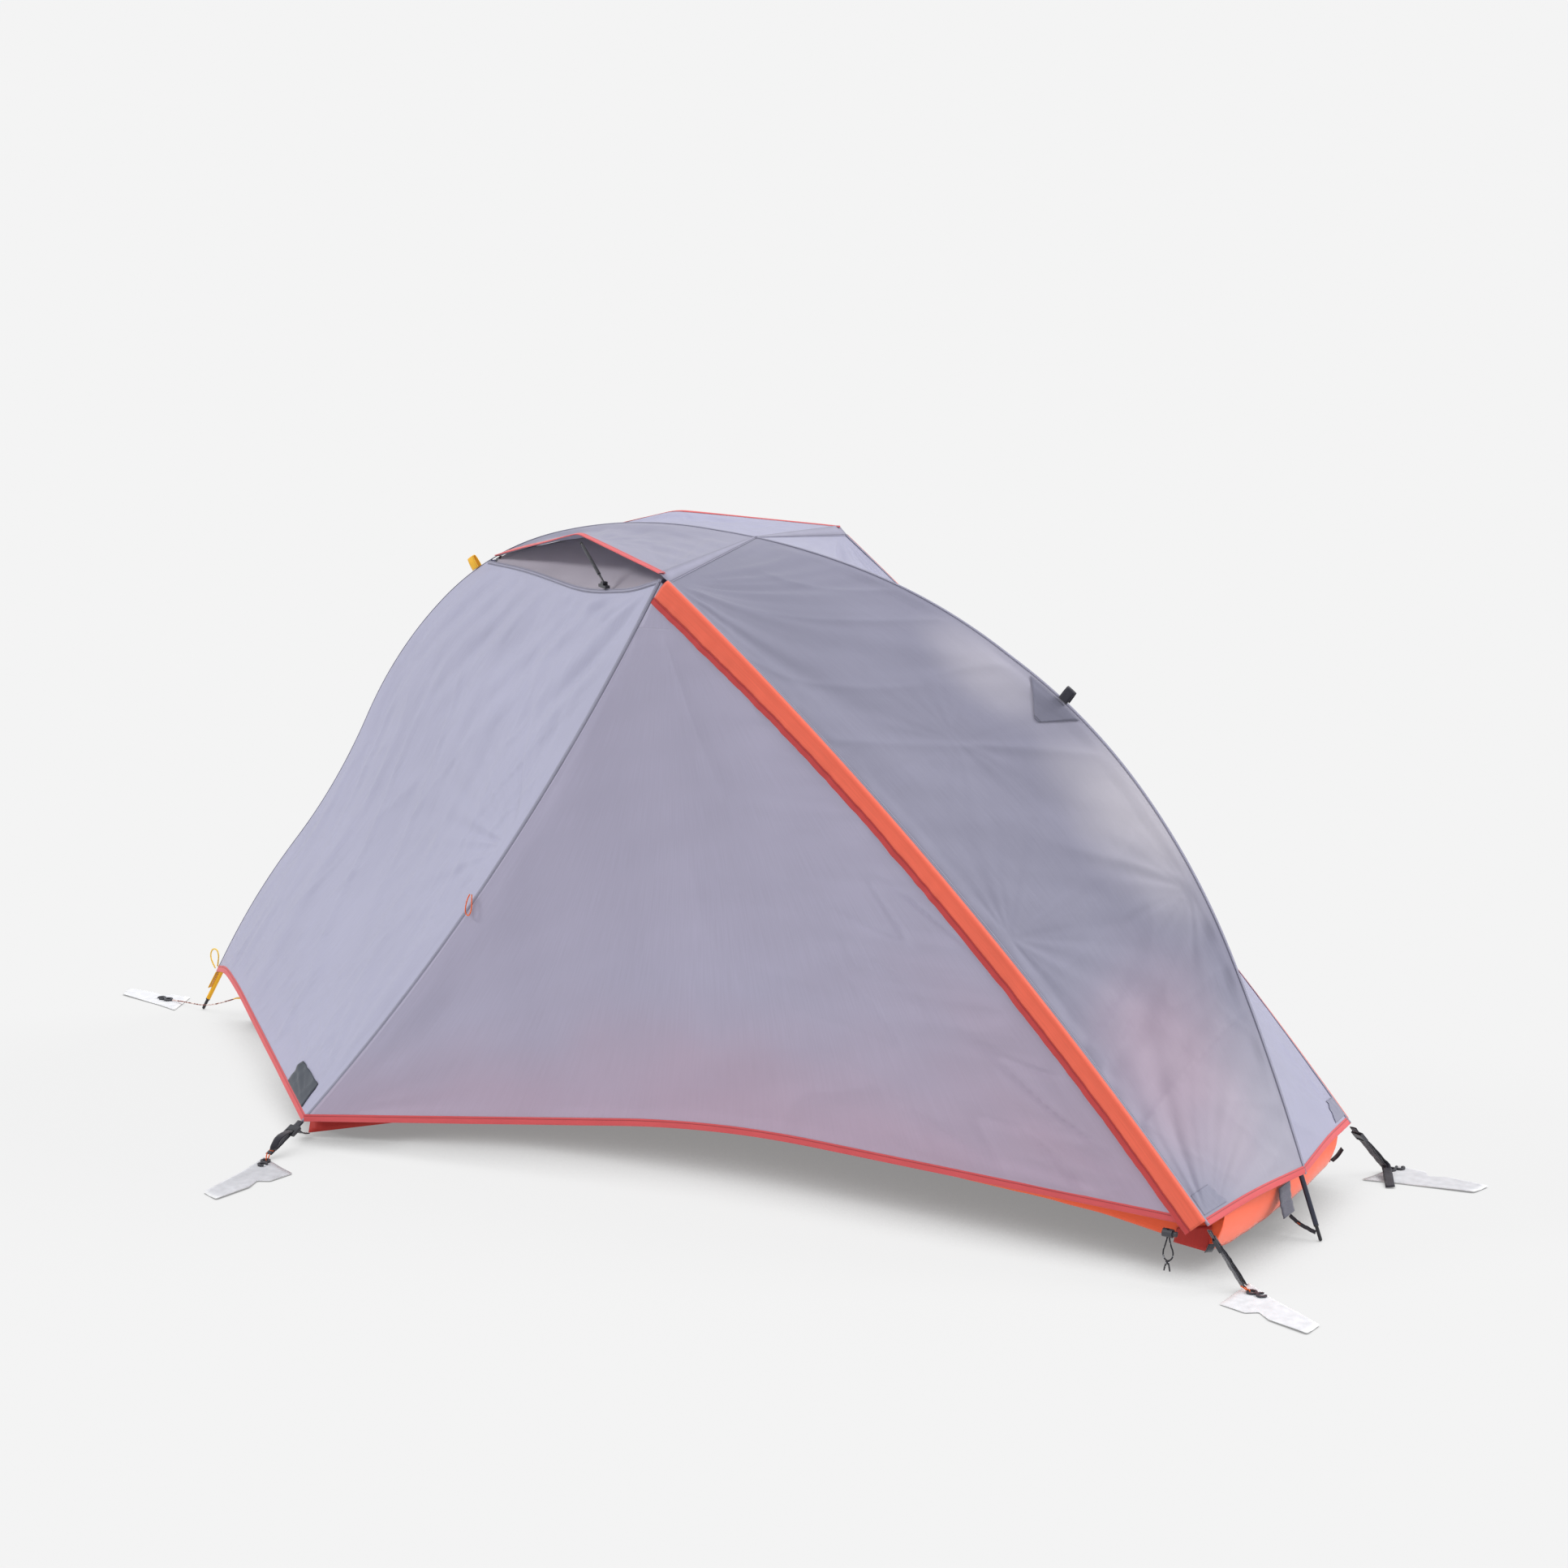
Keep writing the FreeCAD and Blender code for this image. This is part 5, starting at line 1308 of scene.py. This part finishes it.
def tub_row(t):
    """One cross row of the tub, from the near wall's upper edge to the far one's."""
    low, high = edge_line.at(t), top_line.at(t)
    flat_y = -min(FLOOR_FLAT, abs(low.y) * 0.5)
    lifted = min(max((low.x - LIFT_FROM) / (LIFT_TO - LIFT_FROM), 0.0), 1.0)
    flat = V(low.x, flat_y, FLOOR_LIFT * lifted)
    half = [high, (high + low) * 0.5 + V(0, -4, 0), low, (low + flat) * 0.5 - V(0, 0, 6), flat]
    whole = Line(half + [mirrored(p) for p in half[::-1]], 0.22)
    return [whole.at(k) for k in spread(steps(90))]


TUB_ROWS = steps(110)
tub = []
for t in spread(TUB_ROWS):
    line = tub_row(t)
    for k, point in enumerate(line):
        across = k / (len(line) - 1)
        wall = max(0.0, abs(2 * across - 1) - 0.55) / 0.45
        shake = 3.0 * noise.noise(Vector((point.x / 26, point.z / 60, 3.0 + across))) * wall
        floor_shake = 2.2 * noise.noise(Vector((point.x / 70, point.y / 50, 8.0))) * (1 - wall)
        line[k] = V(point.x, point.y - shake * (1 if across < 0.5 else -1), max(point.z + floor_shake, 0.0))
    tub.append(line)
for t in spread(10)[1:]:
    tub.append([last.lerp(V(2330, last.y * 0.96, 108), t) + V(5 * math.sin(math.pi * t), 0, 0)
                for last in tub[TUB_ROWS - 1]])
floor_cloth = on_tent(grid_object("bathtub_floor_cloth", tub, M["tub"], thickness=0.7), "floor_cloth",
                      "floor_tub")

begin, end = pole_distance(120), pole_distance(2318)
CLIP_X = [250, 420, 560, 760, 1000, 1180, 1440, 1680, 1900, 2100, 2230]
clip_at = [pole_distance(x) for x in CLIP_X]
for side, far, seed in SIDES:
    grid = []
    for t in spread(steps(150)):
        distance = begin + (end - begin) * t
        nearest = min(abs(distance - c) for c in clip_at)
        slack = min(nearest / 70, 1.0) ** 1.5 * 9
        roof_point = POLE.place(distance) - outward(distance) * (HANG_DROP + slack) - V(0, 0.8, 0)
        wall = top_line.at(t) + V(0, 1.5, 1.5)
        line = []
        for v in spread(steps(50)):
            sag = math.sin(math.pi * v) * 14 * math.sin(math.pi * t)
            shake = 5 * noise.noise(Vector((t * 22, v * 2, seed))) * math.sin(math.pi * v)
            line.append(roof_point.lerp(wall, v) + V(0, sag + shake, -sag))
        grid.append(line)
    canopy = on_tent(grid_object(side + "_canopy_cloth", grid, M["canopy"], far, thickness=0.4),
                     "inner_mesh", side + "_inner_canopy")


def corner_rows(low, high, inboard, out):
    """Patch on the tub's corner, from its edge and its wall's top inboard, moved out by out. It is the sewn
    corner patch, and its dark red also reaches inboard along the tub's edge as painted shade where the tub lies
    in shadow.
    """
    outer = V(0, out, 0)
    grid = []
    for a in spread(8):
        first = low.lerp(low * 0.35 + high * 0.65, a) + outer
        second = inboard.lerp(inboard * 0.9 + high * 0.1 + V(0, -3, 20), a) + outer
        grid.append([first.lerp(second, b) for b in spread(12)])
    return grid


patches = []
for name, far, _ in SIDES:
    for part, low, high, inboard in (("foot", FLOOR_EDGE[-1], WALL_TOP[-1], V(2250, -236, 48)),
                                     ("shoulder", FLOOR_EDGE[2], WALL_TOP[2], V(812, -410, 34))):
        grid = corner_rows(low, high, inboard, -6.5)
        patches.append(on_tent(grid_object(name + "_floor_patch_" + part, grid, M["patch"], far, thickness=0.8),
                               "floor_patch"))
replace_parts(patches[0], "floor_corner_patches")

# toggle loops on the door seams
TIE_AT = HEAD.side_b(0.455) + V(-7, -8, 0)
TIE_SHAPE = [V(0, 0, 6), V(-3, -3, -2), V(-5, -4, -10), V(-6, -6, -19), V(-5, -7, -27), V(0, -7, -31),
             V(5, -7, -27), V(7, -5, -16), V(6, -3, -6), V(4, 0, 6)]
for side, far, seed in SIDES:
    tie = thread(side + "_tie_cord", [on_side(TIE_AT + p, far) for p in TIE_SHAPE], 1.1, M["cord_orange"],
                 "cord_orange")
    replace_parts(tie, side + "_tie_loop")


# ---------------------------------------------------------------- kept hard parts
KEPT = {
    "alloy_yellow": ["pole_head_section"],
    "alloy": ["pole_mid_sections", "pole_foot_section", "cross_pole"],
    "ferrule": ["pole_ferrules"],
    "shock": ["pole_shock_cord"],
    "plastic": ["pole_head_tip", "pole_foot_tip", "cross_pole_tips", "pole_hub_clip", "ladder_lock_buckles",
                "guy_hooks", "lock_body", "lock_plunger", "near_vent_prop", "far_vent_prop",
                "vent_prop_bases"],
    "clip": ["inner_clips"],
    "spring": ["lock_spring"],
    "zip_metal": ["near_zip_slider", "far_zip_slider", "near_zip_pull", "far_zip_pull"],
    "zip_tape": ["zip_fly_halves", "near_zip_door_half", "far_zip_door_half"],
    "cord_dark": ["lock_cord_knot"],
}
for kind, names in KEPT.items():
    for name in names:
        node = nodes[name]
        if not node.material_slots:
            node.data.materials.append(M[kind])
        for slot in node.material_slots:
            slot.material = M[kind]
